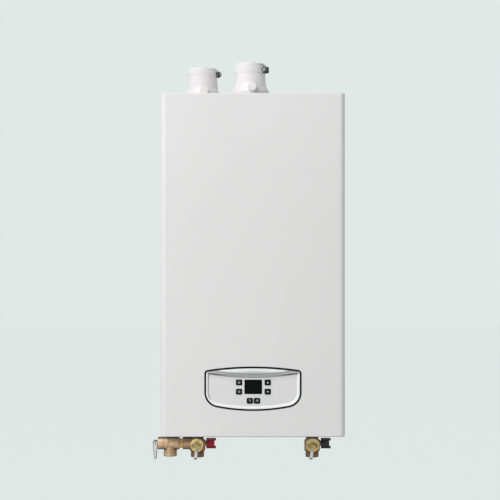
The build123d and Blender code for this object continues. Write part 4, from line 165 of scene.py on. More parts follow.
def add_node(tree, kind, values=(), **settings):
    """Adds a node with its settings, and fills its inputs in order."""
    made = tree.nodes.new(kind)
    for key, setting in settings.items():
        setattr(made, key, setting)
    for socket, value in zip(made.inputs, values):
        fill(tree, socket, value)
    return made


class Shader:
    """A material with one Principled shader, and short calls to add nodes to it."""

    def __init__(self, name):
        self.material = bpy.data.materials.new(name)
        self.material.use_nodes = True
        self.tree = self.material.node_tree
        self.tree.nodes.clear()
        self.bsdf = add_node(self.tree, "ShaderNodeBsdfPrincipled")
        add_node(self.tree, "ShaderNodeOutputMaterial", [self.bsdf.outputs["BSDF"]])
        self.coords = add_node(self.tree, "ShaderNodeTexCoord").outputs["Object"]

    def set(self, **values):
        for key, value in values.items():
            fill(self.tree, self.bsdf.inputs[BSDF_INPUTS[key]], value)

    def split(self, vector=None):
        return add_node(self.tree, "ShaderNodeSeparateXYZ", [vector or self.coords]).outputs

    def normal(self):
        """The surface's own normal, in the object's frame."""
        return self.split(add_node(self.tree, "ShaderNodeTexCoord").outputs["Normal"])

    def math(self, operation, a, b=0.0, clamp=False):
        return add_node(self.tree, "ShaderNodeMath", (a, b), operation=operation, use_clamp=clamp).outputs[0]

    def absolute(self, value):
        return self.math("ABSOLUTE", value)

    def both(self, *factors):
        """Product of factors, which shows only where all of them do."""
        product = factors[0]
        for factor in factors[1:]:
            product = self.math("MULTIPLY", product, factor)
        return product

    def either(self, *factors):
        """Largest of the factors."""
        largest = factors[0]
        for factor in factors[1:]:
            largest = self.math("MAXIMUM", largest, factor)
        return largest

    def vector(self, operation, a, b=(0, 0, 0)):
        made = add_node(self.tree, "ShaderNodeVectorMath", (a, b), operation=operation)
        return made.outputs["Value" if operation == "LENGTH" else "Vector"]

    def from_line(self, point, direction):
        """Distance from a straight line, given by a point and a unit direction."""
        away = self.vector("SUBTRACT", self.coords, tuple(point))
        return self.vector("LENGTH", self.vector("CROSS_PRODUCT", away, tuple(direction)))

    def from_lines(self, lines):
        """Distance from the nearer of two straight lines."""
        return self.math("MINIMUM", *(self.from_line(point, direction) for point, direction in lines))

    def ramp(self, value, low, high, start=0.0, end=1.0):
        """Maps a value from one range to another, held at both ends."""
        values = (value, low, high, start, end)
        return add_node(self.tree, "ShaderNodeMapRange", values, interpolation_type="SMOOTHSTEP").outputs[0]

    def inside(self, value, middle, half, soft):
        """1 where a coordinate is within half of the middle, with a soft edge."""
        away = self.absolute(self.math("SUBTRACT", value, middle))
        return self.ramp(away, half - soft, half + soft, 1.0, 0.0)

    def noise(self, scale, detail=3.0, rough=0.5, stretch=(1, 1, 1)):
        mapping = add_node(self.tree, "ShaderNodeMapping", [self.coords])
        mapping.inputs["Scale"].default_value = stretch
        made = add_node(self.tree, "ShaderNodeTexNoise", [mapping.outputs["Vector"]])
        made.inputs["Scale"].default_value = scale
        made.inputs["Detail"].default_value = detail
        made.inputs["Roughness"].default_value = rough
        return made.outputs["Fac"]

    def cells(self, scale, output):
        made = add_node(self.tree, "ShaderNodeTexVoronoi", [self.coords])
        made.inputs["Scale"].default_value = scale
        return made.outputs[output]

    def blend_value(self, factor, a, b):
        """Number that goes from a to b."""
        made = add_node(self.tree, "ShaderNodeMix")
        for index, value in ((0, factor), (2, a), (3, b)):
            fill(self.tree, made.inputs[index], value)
        return made.outputs[0]

    def blend(self, factor, a, b):
        """Colour that goes from a to b."""
        made = add_node(self.tree, "ShaderNodeMix", data_type="RGBA", clamp_factor=True)
        for index, value in ((0, factor), (6, a), (7, b)):
            fill(self.tree, made.inputs[index], value)
        return made.outputs[2]

    def bump(self, heights):
        """Chains bumps: each is a height, its strength and its depth in metres."""
        normal = None
        for height, strength, depth in heights:
            made = add_node(self.tree, "ShaderNodeBump")
            made.inputs["Strength"].default_value = strength
            made.inputs["Distance"].default_value = depth
            fill(self.tree, made.inputs["Height"], height)
            if normal is not None:
                fill(self.tree, made.inputs["Normal"], normal)
            normal = made.outputs["Normal"]
        fill(self.tree, self.bsdf.inputs["Normal"], normal)


def color(r, g, b):
    return (r, g, b, 1.0)


def shade(base, factor):
    return (base[0] * factor, base[1] * factor, base[2] * factor, 1.0)


BLACK = color(0.0, 0.0, 0.0)
PAINTED_HIGHLIGHT = color(0.97, 0.96, 0.96)


# Painted metal
def paint(name, base, marks=None, dusty=True, rough=0.38, coat=0.15):
    """Satin powder coat: a fine orange peel, a slow change of shade, a little dust, and the painted shade of
    its marks.
    """
    s = Shader(name)
    cloud = s.noise(3.0, detail=4.0)
    tint = s.blend(s.ramp(cloud, *SPREAD), shade(base, 0.985), base)
    if dusty:
        dust = s.noise(60.0, detail=6.0, rough=0.65)
        tint = s.blend(s.ramp(dust, 0.62, 0.8, 0.0, 0.1), tint, shade(base, 0.82))
    # Painted shade from the marks given
    for mask, factor in marks(s) if marks else ():
        tint = s.blend(mask, tint, shade(base, factor))
    s.set(color=tint, rough=s.ramp(cloud, *SPREAD, rough, rough + 0.07), coat=coat, coat_rough=0.3)
    s.bump([(s.noise(1400.0, detail=2.0), 0.25, 0.00005), (s.noise(9.0, detail=2.0), 0.08, 0.0006)])
    return s.material


def cover_shade(s):
    """Painted shade in the panel opening's cut edge and along the cover's folded lower edge."""
    x, _, z = s.split()
    _, ny, _ = s.normal()
    half_x, half_z = NEAR_PANEL_HALF
    near_panel = s.both(s.inside(x, 0.0, half_x, 0.002), s.inside(z, PANEL_Z, half_z, 0.002))
    # Painted shade on the opening's cut edge, in the gap round the panel
    cut = s.both(near_panel, s.ramp(s.absolute(ny), 0.85, 0.985, 1.0, 0.0))
    # Painted shade along the folded lower edge
    fold = s.both(s.ramp(z, CASE_BOTTOM + 0.0008, CASE_BOTTOM + 0.0022, 1.0, 0.0), 0.75)
    return [(cut, 0.02), (fold, 0.3)]


def collar_shade(s):
    """Painted shade on the collars: a dark line at each foot and a shadow right of each test boss, a line
    under each rim, and the left clamp's stripe.
    """
    x, _, z = s.split()
    _, ny, _ = s.normal()
    left = s.ramp(x, BETWEEN_COLLARS + 0.0005, BETWEEN_COLLARS - 0.0005)
    across = s.math("SUBTRACT", x, s.blend_value(left, COLLARS[0][0], COLLARS[1][0]))
    # Painted shade: a dark line round each collar's foot, right of its test boss
    foot = s.blend_value(left, *(s.inside(z, height, 0.0008, 0.0022) for height in FOOT_LINE_Z))
    foot = s.both(foot, s.ramp(across, 0.009, 0.013), s.ramp(across, 0.013, 0.045, 0.7, 0.35))
    # Painted shadow of each test boss over the collar to its right
    boss_shadow = s.blend_value(left, *(s.ramp(z, clear, full) for clear, full in BOSS_SHADOW_Z))
    boss_shadow = s.both(boss_shadow, s.ramp(across, 0.006, 0.016), s.ramp(across, 0.014, 0.040, 0.32, 0.12))
    # Painted shade in a line under the rim
    line = s.both(s.inside(z, RIM_LINE_Z, 0.0010, 0.0006), s.ramp(across, 0.005, 0.040, 0.0, 0.6))
    dark = s.both(s.either(foot, boss_shadow, line), s.ramp(ny, 0.1, -0.1))
    return [(dark, 0.12), (clamp_end(s), 0.01)]


def clamp_end(s):
    """Dark stripe where the left clamp's worm housing grips its band, painted for the housing's dark end and
    its shadow on band and collar.
    """
    x, _, z = s.split()
    _, ny, _ = s.normal()
    half_x, half_z = CLAMP_END_HALF
    # Painted shade: the housing's end and its shadow
    stripe = s.both(s.inside(x, CLAMP_END_X, half_x, 0.0008), s.inside(z, CLAMP_END_Z, half_z, 0.0010))
    return s.both(stripe, s.ramp(ny, 0.0, -0.1))


def clamp_material(name, band, housing):
    """White paint on the bands, and dark plated steel on the worm housings that stand out from them."""
    s = Shader(name)
    near = s.from_lines(((axis_x, axis_y, 0.0), UPRIGHT) for axis_x, axis_y in COLLARS)
    metal = s.ramp(near, BAND_OUT, BAND_OUT + 0.0003)
    wear = s.noise(300.0, detail=4.0)
    # Painted shade: the left clamp's dark stripe on its band
    band = s.blend(clamp_end(s), band, shade(band, 0.01))
    s.set(color=s.blend(metal, band, s.blend(s.ramp(wear, 0.4, 0.7), housing, shade(housing, 1.6))))
    s.set(metal=s.both(metal, 0.3), rough=s.ramp(wear, *SPREAD, 0.32, 0.48), specular=0.15)
    s.bump([(s.noise(700.0), 0.2, 0.00006)])
    return s.material


# Plastic, rubber and board
def plastic(name, base, rough=0.42, gloss=0.5):
    """Moulded plastic with a fine grain."""
    s = Shader(name)
    cloud = s.noise(25.0, detail=3.0)
    s.set(color=s.blend(s.ramp(cloud, 0.35, 0.65), shade(base, 0.94), base))
    s.set(rough=s.ramp(cloud, *SPREAD, rough, rough + 0.08), specular=gloss)
    s.bump([(s.noise(2600.0, detail=2.0), 0.2, 0.00003)])
    return s.material


def knob_plastic(name, base, highlight_color):
    """Moulded knob with painted highlights along the ribs beside its hub and at the ends of its wings, and
    painted shade between them.
    """
    s = Shader(name)
    _, _, z = s.split()
    out = s.absolute(s.math("SUBTRACT", z, VALVE_Z))
    # Painted highlights along the ribs and at the wings' ends
    rib_highlight = s.either(s.inside(out, KNOB_RIB, 0.0008, 0.0006), s.ramp(out, *KNOB_WING_END))
    # Painted shade between the ribs and the wings
    hollow_shade = s.inside(out, KNOB_HOLLOW, 0.0018, 0.0008)
    cloud = s.noise(60.0, detail=3.0)
    tint = s.blend(s.ramp(cloud, 0.35, 0.65), shade(base, 0.9), base)
    tint = s.blend(s.both(hollow_shade, 0.5), tint, shade(base, 0.4))
    s.set(color=s.blend(s.both(rib_highlight, 0.6), tint, highlight_color), specular=0.25)
    s.set(rough=s.ramp(cloud, *SPREAD, 0.35, 0.43))
    s.bump([(s.noise(2600.0, detail=2.0), 0.2, 0.00003)])
    return s.material


def bezel_plastic(name, base):
    """The bezel's satin white and the film over the keys, with painted shade and highlights on the visor, the
    rim round it and the slopes of its pocket.
    """
    s = Shader(name)
    x, y, z = s.split()
    nx, ny, nz = s.normal()
    cloud = s.noise(20.0, detail=3.0)
    tint = s.blend(s.ramp(cloud, *SPREAD), shade(base, 0.98), base)

    # Film over the keys: slightly darker, with a thin edge
    film, inner = (
        s.both(
            s.inside(x, KEY_RIGHT, FILM_HALF[0] - inset, FILM_SOFT),
            s.inside(z, FILM_Z, FILM_HALF[1] - inset, FILM_SOFT),
        )
        for inset in (0.0, FILM_LINE)
    )
    tint = s.blend(s.both(film, 0.06), tint, shade(base, 0.8))
    edge = s.math("SUBTRACT", film, inner, clamp=True)
    tint = s.blend(s.both(edge, 0.25), tint, shade(base, 0.45))

    # Visor: painted shade on the band between its two curves and on the face under it
    square = s.both(x, x)
    above, under = (
        s.math("SUBTRACT", z, s.math("ADD", PANEL_TOP - down, s.both(square, 1 / (2 * radius))))
        for down, radius in BROWS
    )
    across = s.inside(x, 0.0, POCKET_HALF, 0.002)
    tint = s.blend(s.both(s.ramp(under, -FACE_SHADE_DOWN, 0.0, 0.0, 0.26), across), tint, shade(base, 0.5))
    band = s.both(s.ramp(under, -0.0003, 0.0003), s.ramp(above, 0.0003, -0.0003))
    tint = s.blend(s.both(band, across), tint, shade(base, 0.6))

    # Flat rim: a painted highlight, with painted shade above the visor, furthest up at the visor's middle
    flat = s.both(s.ramp(ny, -0.95, -0.99), s.ramp(y, RIM_FRONT + 0.0001, RIM_FRONT + 0.0003, 1.0, 0.0))
    tint = s.blend(s.both(flat, s.ramp(band, 0.0, 1.0, 1.0, 0.0)), tint, PAINTED_HIGHLIGHT)
    reach = s.math("SUBTRACT", BROW_SHADE_UP, s.both(s.absolute(x), BROW_SHADE_FALL))
    share = s.math("DIVIDE", above, s.either(reach, BROW_SHADE_LEAST))
    shaded = s.both(s.ramp(above, -0.0003, 0.0), s.ramp(share, 0.0, 1.0, 0.6, 0.0))
    tint = s.blend(s.both(shaded, across, flat), tint, BLACK)
    # Painted shade along the visor's two curves
    crease = s.either(*(s.inside(curve, 0.0, CREASE_HALF, 0.0005) for curve in (above, under)))
    crease = s.both(crease, s.inside(x, 0.0, POCKET_HALF, 0.012))
    tint = s.blend(s.both(crease, 0.6), tint, shade(base, 0.2))

    # Slopes round the pocket: painted shade on the left one, painted highlights on the right and lower ones
    slope = s.both(s.inside(x, 0.0, POCKET_HALF + 0.001, 0.0005), s.ramp(under, 0.0, -0.002))
    left = s.both(s.ramp(s.both(x, -1.0), *POCKET_SIDE), s.ramp(nx, 0.2, 0.5))
    right = s.both(s.ramp(x, *POCKET_SIDE), s.ramp(nx, -0.2, -0.5))
    right = s.either(right, s.ramp(nz, 0.2, 0.5))
    tint = s.blend(s.both(slope, left, 0.55), tint, shade(base, 0.3))
    tint = s.blend(s.both(slope, right), tint, PAINTED_HIGHLIGHT)

    # Outer sides: painted shade against the seal
    side = s.ramp(s.absolute(ny), 0.75, 0.97, 1.0, 0.0)
    off_slope = s.math("SUBTRACT", 1.0, s.both(slope, s.either(left, right)), clamp=True)
    tint = s.blend(s.both(side, off_slope), tint, shade(base, 0.02))

    s.set(color=tint, rough=s.ramp(film, 0.0, 1.0, 0.4, 0.28), coat=0.1, coat_rough=0.2)
    s.bump([(s.noise(2200.0), 0.1, 0.00002)])
    return s.material


def display(name):
    """Gloss black window with the faint grey of the display behind it."""
    s = Shader(name)
    x, _, z = s.split()
    screen = s.both(s.inside(x, LCD_X, LCD_HALF[0], 0.0003), s.inside(z, LCD_Z, LCD_HALF[1], 0.0003))
    s.set(color=s.blend(screen, color(0.002, 0.002, 0.002), color(0.006, 0.006, 0.0065)))
    s.set(rough=s.ramp(s.noise(30.0), *SPREAD, 0.1, 0.16), specular=0.08)
    s.bump([(s.noise(60.0), 0.03, 0.0002)])
    return s.material


def rubber(name, base):
    """Soft black rubber, dull and dusty."""
    s = Shader(name)
    dust = s.noise(180.0, detail=5.0)
    s.set(color=s.blend(s.ramp(dust, 0.5, 0.8, 0.0, 0.5), base, shade(base, 2.2)), rough=0.8)
    s.bump([(s.noise(900.0), 0.4, 0.00008)])
    return s.material


def board(name, base):
    """Lacquered circuit board with its copper tracks just showing."""
    s = Shader(name)
    tracks = s.cells(260.0, "Distance")
    s.set(color=s.blend(s.ramp(tracks, 0.2, 0.3), shade(base, 1.8), base), rough=0.35, coat=0.5)
    s.bump([(tracks, 0.1, 0.00004)])
    return s.material


# Bare metal
def sheet_steel(name, base):
    """Zinc coated sheet with its spangle."""
    s = Shader(name)
    spangle = s.split(s.cells(85.0, "Color"))[0]
    cloud = s.noise(12.0, detail=4.0)
    tint = s.blend(s.ramp(spangle, 0.0, 1.0, 0.0, 0.6), shade(base, 0.8), base)
    rough = s.math("ADD", s.ramp(spangle, 0.0, 1.0, 0.34, 0.46), s.ramp(cloud, *SPREAD, 0.0, 0.08))
    s.set(color=tint, metal=1.0, rough=rough)
    s.bump([(s.noise(700.0), 0.15, 0.00005)])
    return s.material


def brushed(name, base, rough=0.28):
    """Brushed or drawn metal with fine level lines."""
    s = Shader(name)
    lines = s.noise(120.0, detail=5.0, stretch=(1, 1, 30))
    smudge = s.noise(35.0, detail=4.0)
    s.set(color=s.blend(s.ramp(lines, 0.35, 0.65), shade(base, 0.86), base), metal=1.0)
    grooves = s.ramp(lines, *SPREAD, rough - 0.05, rough + 0.08)
    s.set(rough=s.math("ADD", grooves, s.ramp(smudge, 0.4, 0.8, 0.0, 0.12)))
    s.bump([(lines, 0.12, 0.00006)])
    return s.material


def cast_metal(name, base, dark):
    """Sand cast metal: a grainy skin with stains in its hollows."""
    s = Shader(name)
    sand = s.noise(420.0, detail=4.0, rough=0.6)
    stain = s.noise(55.0, detail=5.0, rough=0.6)
    tint = s.blend(s.ramp(stain, 0.25, 0.6), dark, base)
    tint = s.blend(s.ramp(sand, 0.3, 0.55, 0.3, 0.0), tint, dark)
    s.set(color=tint, metal=1.0, rough=s.ramp(stain, *SPREAD, 0.59, 0.45))
    s.bump([(sand, 0.5, 0.00015), (s.noise(90.0), 0.2, 0.0004)])
    return s.material


def bronze(name, base, dark, rough, port_shade=0.0):
    """Sand cast bronze with stains, and painted shade: on top under the casing, on faces turned down, at the
    port's steps and groove, and where it turns away from the front.
    """
    s = Shader(name)
    _, _, z = s.split()
    _, ny, nz = s.normal()
    height = s.math("SUBTRACT", z, VALVE_Z)
    sand = s.noise(420.0, detail=4.0, rough=0.6)
    stain = s.noise(70.0, detail=5.0, rough=0.6)
    tint = s.blend(s.ramp(stain, 0.2, 0.62), s.blend(0.45, base, dark), base)
    tint = s.blend(s.ramp(sand, 0.3, 0.5, 0.35, 0.0), tint, dark)
    # Painted shade in the outlet's groove
    ring = s.inside(height, PORT_GROOVE, 0.0006, 0.0004)
    tint = s.blend(s.both(ring, 0.6), tint, dark)
    # Painted shade on faces turned down, and painted shadow of the casing over the top
    below = s.ramp(nz, -0.35, -0.95, 0.0, 0.85)
    above = s.ramp(height, *VALVE_TOP, 0.0, 0.9)
    tint = s.blend(s.either(below, above), tint, dark)
    # Painted shade at the port's steps and lip
    port = s.either(s.ramp(height, *PORT_STEP), s.both(s.ramp(height, *PORT_LIP), 0.5))
    tint = s.blend(s.both(port, port_shade), tint, dark)
    # Painted shade where the surface turns away from the front
    turned = s.ramp(s.absolute(ny), 0.1, 0.6, 0.6, 0.0)
    tint = s.blend(turned, tint, dark)
    s.set(color=tint, metal=0.6, rough=s.ramp(stain, *SPREAD, rough + 0.12, rough))
    s.bump([(sand, 0.5, 0.00015), (s.noise(90.0), 0.2, 0.0004), (ring, 0.6, -0.0003)])
    return s.material


def turned_brass(name, base, rough=0.25, metal=1.0):
    """Machined brass or copper with tarnish."""
    s = Shader(name)
    tarnish = s.noise(70.0, detail=5.0)
    tint = s.blend(s.ramp(tarnish, 0.42, 0.75), base, shade(base, 0.62))
    s.set(color=tint, metal=metal, rough=s.ramp(tarnish, 0.35, 0.75, rough, rough + 0.18))
    s.bump([(s.noise(500.0, detail=3.0), 0.12, 0.00006)])
    return s.material


def front_radius(s):
    """Distance from the nearer valve's front axis."""
    return s.from_lines(((axis_x, 0.0, VALVE_Z), ALONG_Y) for axis_x in VALVE_XS)


def front_disc(name):
    """Turned brass disc: fine rings and tarnish, painted shade in its recess and in the creases at stem and
    rim, and a painted bow-tie reflection that fades towards the bright rim.
    """
    s = Shader(name)
    x, _, z = s.split()
    out = front_radius(s)
    tarnish = s.noise(110.0, detail=5.0)
    base, deep = (1.0, 0.77, 0.33), (0.40, 0.26, 0.085)
    tint = s.blend(s.ramp(tarnish, 0.4, 0.7, 0.0, 0.5), base, deep)
    # Painted shade in the disc's recess between stem and rim
    hollow_shade = s.both(
        s.ramp(out, DISC_STEM_R - 0.0005, DISC_STEM_R + 0.0003),
        s.ramp(out, DISC_RIM_R - 0.0003, DISC_RIM_R + 0.0003, 1.0, 0.0),
    )
    tint = s.blend(s.both(hollow_shade, 0.12), tint, deep)
    # Painted reflection: a dark bow tie either side of the stem
    aside = s.math("MINIMUM", *(s.absolute(s.math("SUBTRACT", x, axis_x)) for axis_x in VALVE_XS))
    rise = s.absolute(s.math("SUBTRACT", z, VALVE_Z - 0.002))
    slant = s.math("DIVIDE", rise, s.math("ADD", aside, 0.0015))
    bow_tie_reflection = s.both(s.ramp(slant, 0.35, 0.7, 0.65, 0.0), s.ramp(out, 0.0128, 0.0145, 1.0, 0.4))
    tint = s.blend(bow_tie_reflection, tint, shade(deep, 0.7))
    # Painted shade in the creases at stem and rim
    crease = s.either(s.inside(out, DISC_STEM_R, 0.0008, 0.0005), s.inside(out, DISC_RIM_R, 0.0005, 0.0004))
    tint = s.blend(s.both(crease, 0.6), tint, shade(deep, 0.4))
    s.set(color=tint, metal=0.35, rough=s.ramp(tarnish, 0.35, 0.7, 0.26, 0.42))
    rings = s.math("SINE", s.both(out, DISC_RING_TURNS))
    s.bump([(rings, 0.25, 0.00004), (s.noise(500.0, detail=3.0), 0.15, 0.00008)])
    return s.material


def lever_metal(name, base, tip):
    """Pale plated steel whose bent tip is bare grey, with brass on its hub for its nut and as a painted
    reflection of the brass disc.
    """
    s = Shader(name)
    _, _, z = s.split()
    tip_z = VALVE_Z - TIP_DOWN
    grey = s.ramp(z, tip_z - 0.0006, tip_z + 0.0006, 1.0, 0.0)
    # Brass on the hub: its nut, and a painted reflection of the brass disc
    hub = s.ramp(front_radius(s), *LEVER_NUT_R, 1.0, 0.0)
    lines = s.noise(160.0, detail=4.0, stretch=(20, 20, 1))
    tarnish = s.noise(160.0, detail=4.0)
    steel = s.blend(s.ramp(lines, *SPREAD), shade(base, 0.9), base)
    brass = s.blend(s.ramp(tarnish, 0.35, 0.65), color(0.7, 0.5, 0.2), color(0.26, 0.16, 0.04))
    tint = s.blend(grey, steel, tip)
    s.set(color=s.blend(hub, tint, brass), metal=0.12, rough=s.ramp(lines, *SPREAD, 0.3, 0.42))
    s.bump([(lines, 0.12, 0.00005)])
    return s.material


def screw_head(name):
    """Worm screw: a dark head with painted highlights, a fainter ring on its flange and a stronger ring round
    its slot.
    """
    s = Shader(name)
    worms = [joints[f"{vent}_worm_turn"] for vent in ("exhaust", "intake")]
    out = s.from_lines((row["pos_m"], Vector(row["axis"]).normalized()) for row in worms)
    _, ny, _ = s.normal()
    ring = s.inside(out, WORM_HEX_R, 0.0010, 0.0004)
    plate = s.inside(out, WORM_FLANGE_R, 0.0007, 0.0004)
    # Painted highlights on the front-facing rings of the head
    bright = s.both(s.either(ring, s.both(plate, 0.45)), s.ramp(ny, -0.7, -0.8))
    wear = s.noise(400.0, detail=4.0)
    steel = s.blend(s.ramp(wear, 0.35, 0.7), color(0.55, 0.55, 0.56), color(0.72, 0.72, 0.72))
    s.set(color=s.blend(bright, color(0.006, 0.006, 0.0065), steel), metal=0.2, specular=0.15)
    s.set(rough=s.ramp(wear, *SPREAD, 0.3, 0.45))
    s.bump([(s.noise(800.0), 0.2, 0.00005)])
    return s.material


def relief_lever_metal(name):
    """Polished plate: pale faces, a dark pin, and painted reflection that darkens its rounded edges and the
    faces turned away from the front.
    """
    s = Shader(name)
    x, _, z = s.split()
    _, ny, _ = s.normal()
    pin_x, pin_y, pin_z = joints["relief_lever_turn"]["pos_m"]
    from_pin = s.from_line((pin_x, pin_y, pin_z), ALONG_Y)
    from_tip = s.from_line((pin_x, pin_y, pin_z - RELIEF_TIP_DOWN), ALONG_Y)

    # Depth inside the outline: a round eye, a tapered shank and a round tip
    down = s.math("SUBTRACT", pin_z, z)
    half = s.math("SUBTRACT", RELIEF_EYE_R, s.both(down, (RELIEF_EYE_R - RELIEF_TIP_R) / RELIEF_TIP_DOWN))
    shank = s.math("SUBTRACT", half, s.absolute(s.math("SUBTRACT", x, pin_x)))
    shank = s.math("MINIMUM", shank, s.math("MINIMUM", down, s.math("SUBTRACT", RELIEF_TIP_DOWN, down)))
    eye, tip = s.math("SUBTRACT", RELIEF_EYE_R, from_pin), s.math("SUBTRACT", RELIEF_TIP_R, from_tip)
    depth = s.either(eye, tip, shank)

    scratch = s.noise(140.0, detail=4.0, stretch=(20, 20, 1))
    tint = s.blend(s.ramp(scratch, *SPREAD), color(0.58, 0.56, 0.55), color(0.69, 0.67, 0.66))
    # Painted reflection: dark along the rounded edges of the outline
    tint = s.blend(s.ramp(depth, 0.0008, 0.0018, 0.9, 0.0), tint, color(0.07, 0.06, 0.06))
    tint = s.blend(s.ramp(from_pin, *RELIEF_PIN_R), tint, color(0.02, 0.018, 0.018))
    # Painted shade on faces turned away from the front
    tint = s.blend(s.ramp(s.absolute(ny), 0.3, 0.8, 0.85, 0.0), tint, color(0.1, 0.09, 0.09))
    s.set(color=tint, metal=0.25, rough=s.ramp(scratch, *SPREAD, 0.3, 0.44))
    s.bump([(scratch, 0.1, 0.00005)])
    return s.material


WHITE = (0.84, 0.815, 0.82)
COLLAR_WHITE = (0.83, 0.81, 0.815)
makers = {
    "cover_white": lambda n: paint(n, WHITE, cover_shade, coat=0.12),
    "casing_white": lambda n: paint(n, WHITE),
    "collar_white": lambda n: paint(n, COLLAR_WHITE, collar_shade, dusty=False, rough=0.34),
    "bezel_white": lambda n: bezel_plastic(n, (0.82, 0.80, 0.805)),
    "plug_white": lambda n: plastic(n, (0.90, 0.88, 0.88)),
    "seal_black": lambda n: rubber(n, (0.012, 0.012, 0.012)),
    "key_black": lambda n: plastic(n, (0.006, 0.006, 0.006), rough=0.36, gloss=0.15),
    "lcd_glass": display,
    "board_green": lambda n: board(n, (0.015, 0.09, 0.04)),
    "box_plastic": lambda n: plastic(n, (0.012, 0.012, 0.012), rough=0.6, gloss=0.2),
    "fan_plastic": lambda n: plastic(n, (0.03, 0.03, 0.032)),
    "motor_black": lambda n: plastic(n, (0.02, 0.02, 0.02), rough=0.45),
    "ceramic": lambda n: plastic(n, (0.75, 0.72, 0.64), rough=0.25),
    "seat_white": lambda n: plastic(n, (0.7, 0.7, 0.68)),
    "knob_red": lambda n: knob_plastic(n, (0.42, 0.014, 0.036), (0.75, 0.16, 0.22)),
    "knob_black": lambda n: knob_plastic(n, (0.045, 0.036, 0.038), (0.17, 0.14, 0.15)),
    "galvanised": lambda n: sheet_steel(n, (0.6, 0.62, 0.64)),
    "screw_steel": lambda n: brushed(n, (0.5, 0.5, 0.5)),
    "stainless": lambda n: brushed(n, (0.58, 0.58, 0.57), rough=0.3),
    "copper": lambda n: turned_brass(n, (0.72, 0.36, 0.22), rough=0.28),
    "cast_aluminium": lambda n: cast_metal(n, (0.6, 0.6, 0.6), (0.4, 0.4, 0.41)),
    "clamp_steel": lambda n: clamp_material(n, COLLAR_WHITE, (0.012, 0.012, 0.013)),
    "clamp_screw_steel": screw_head,
    "valve_bronze": lambda n: bronze(n, (0.62, 0.385, 0.235), (0.05, 0.024, 0.011), 0.4, port_shade=0.6),
    "relief_bronze": lambda n: bronze(n, (0.76, 0.50, 0.315), (0.08, 0.042, 0.02), 0.42),
    # Union nuts: brass darkened as painted shadow under the casing
    "nut_brass": lambda n: turned_brass(n, (0.16, 0.09, 0.05)),
    "nipple_brass": lambda n: turned_brass(n, (0.85, 0.55, 0.24), metal=0.6),
    "bonnet_brass": front_disc,
    "ball_chrome": lambda n: brushed(n, (0.7, 0.7, 0.7), rough=0.12),
    "lever_steel": lambda n: lever_metal(n, (0.95, 0.89, 0.87), (0.26, 0.27, 0.29)),
    "stem_steel": lambda n: brushed(n, (0.06, 0.055, 0.055)),
    "relief_lever_steel": relief_lever_metal,
}
materials = {slot: make(slot) for slot, make in makers.items()}
for name, node in nodes.items():
    node.data.materials.clear()
    node.data.materials.append(materials[slots[name]])
ink = plastic("key_ink", (0.78, 0.79, 0.80), rough=0.5)


# Thin pieces
def new_piece(name, bm, material, body):
    """Makes a piece of a bmesh, riding on a body."""
    bmesh.ops.recalc_face_normals(bm, faces=list(bm.faces))
    mesh = bpy.data.meshes.new(name)
    bm.to_mesh(mesh)
    bm.free()
    piece = bpy.data.objects.new(name, mesh)
    bpy.context.scene.collection.objects.link(piece)
    mesh.materials.append(material)
    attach(piece, body)
    return piece


def swept_piece(name, rings, closed, body, slot):
    """A solid swept through rings of points: its ends are capped, or join where it is closed."""
    bm = bmesh.new()
    loops = [[bm.verts.new(point) for point in ring] for ring in rings]
    pairs = list(zip(loops, loops[1:])) + ([(loops[-1], loops[0])] if closed else [])
    count = len(loops[0])
    for one, two in pairs:
        for i in range(count):
            bm.faces.new((one[i], one[(i + 1) % count], two[(i + 1) % count], two[i]))
    if not closed:
        bm.faces.new(loops[0])
        bm.faces.new(loops[-1])
    return new_piece(name, bm, materials[slot], body)


def seal_and_gap_shade_lip():
    """Black lip of the panel's seal on the cover round the opening, which also stands for the shadow in the
    gap round the panel.
    """
    half_x, half_z = NEAR_PANEL_HALF
    found = set()
    for vertex in nodes["front_cover"].data.vertices:
        x, y, z = vertex.co
        if abs(y - CASE_FRONT) < ON_FRONT and abs(x) < half_x and abs(z - PANEL_Z) < half_z:
            found.add((round(x, 6), round(z, 6)))
    loop = sorted(found, key=lambda point: math.atan2(point[1] - PANEL_Z, point[0]))
    front, back = CASE_FRONT - LIP_PROUD, CASE_FRONT + LIP_PROUD
    rings = []
    for i, (x, z) in enumerate(loop):
        before, after = loop[i - 1], loop[(i + 1) % len(loop)]
        dx, dz = after[0] - before[0], after[1] - before[1]
        long = math.hypot(dx, dz)
        out_x, out_z = x + dz / long * LIP_WIDE, z - dx / long * LIP_WIDE
        rings.append([(x, front, z), (out_x, front, out_z), (out_x, back, out_z), (x, back, z)])
    swept_piece("panel_seal_and_gap_shade_lip", rings, True, "cover", "seal_black")


def relief_coil():
    """The relief spring, as a coil of wire in the spring part's place."""
    low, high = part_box("relief_spring")
    middle = [(a + b) / 2 for a, b in zip(low, high)]
    radius = (high[2] - low[2]) / 2 - COIL_WIRE_R
    start, end = low[0] + COIL_INSET, high[0] - COIL_INSET
    count = COIL_TURNS * COIL_STEPS
    rings = []
    for i in range(count + 1):
        turn = 2 * math.pi * i / COIL_STEPS
        x = start + (end - start) * i / count
        ring = []
        for j in range(COIL_SIDES):
            angle = 2 * math.pi * j / COIL_SIDES
            along, out = COIL_WIRE_R * math.sin(angle), radius + COIL_WIRE_R * math.cos(angle)
            ring.append((x + along, middle[1] + out * math.cos(turn), middle[2] + out * math.sin(turn)))
        rings.append(ring)
    piece = swept_piece("relief_coil", rings, False, "casing", slots["relief_spring"])
    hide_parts("relief_spring")
    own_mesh(piece)


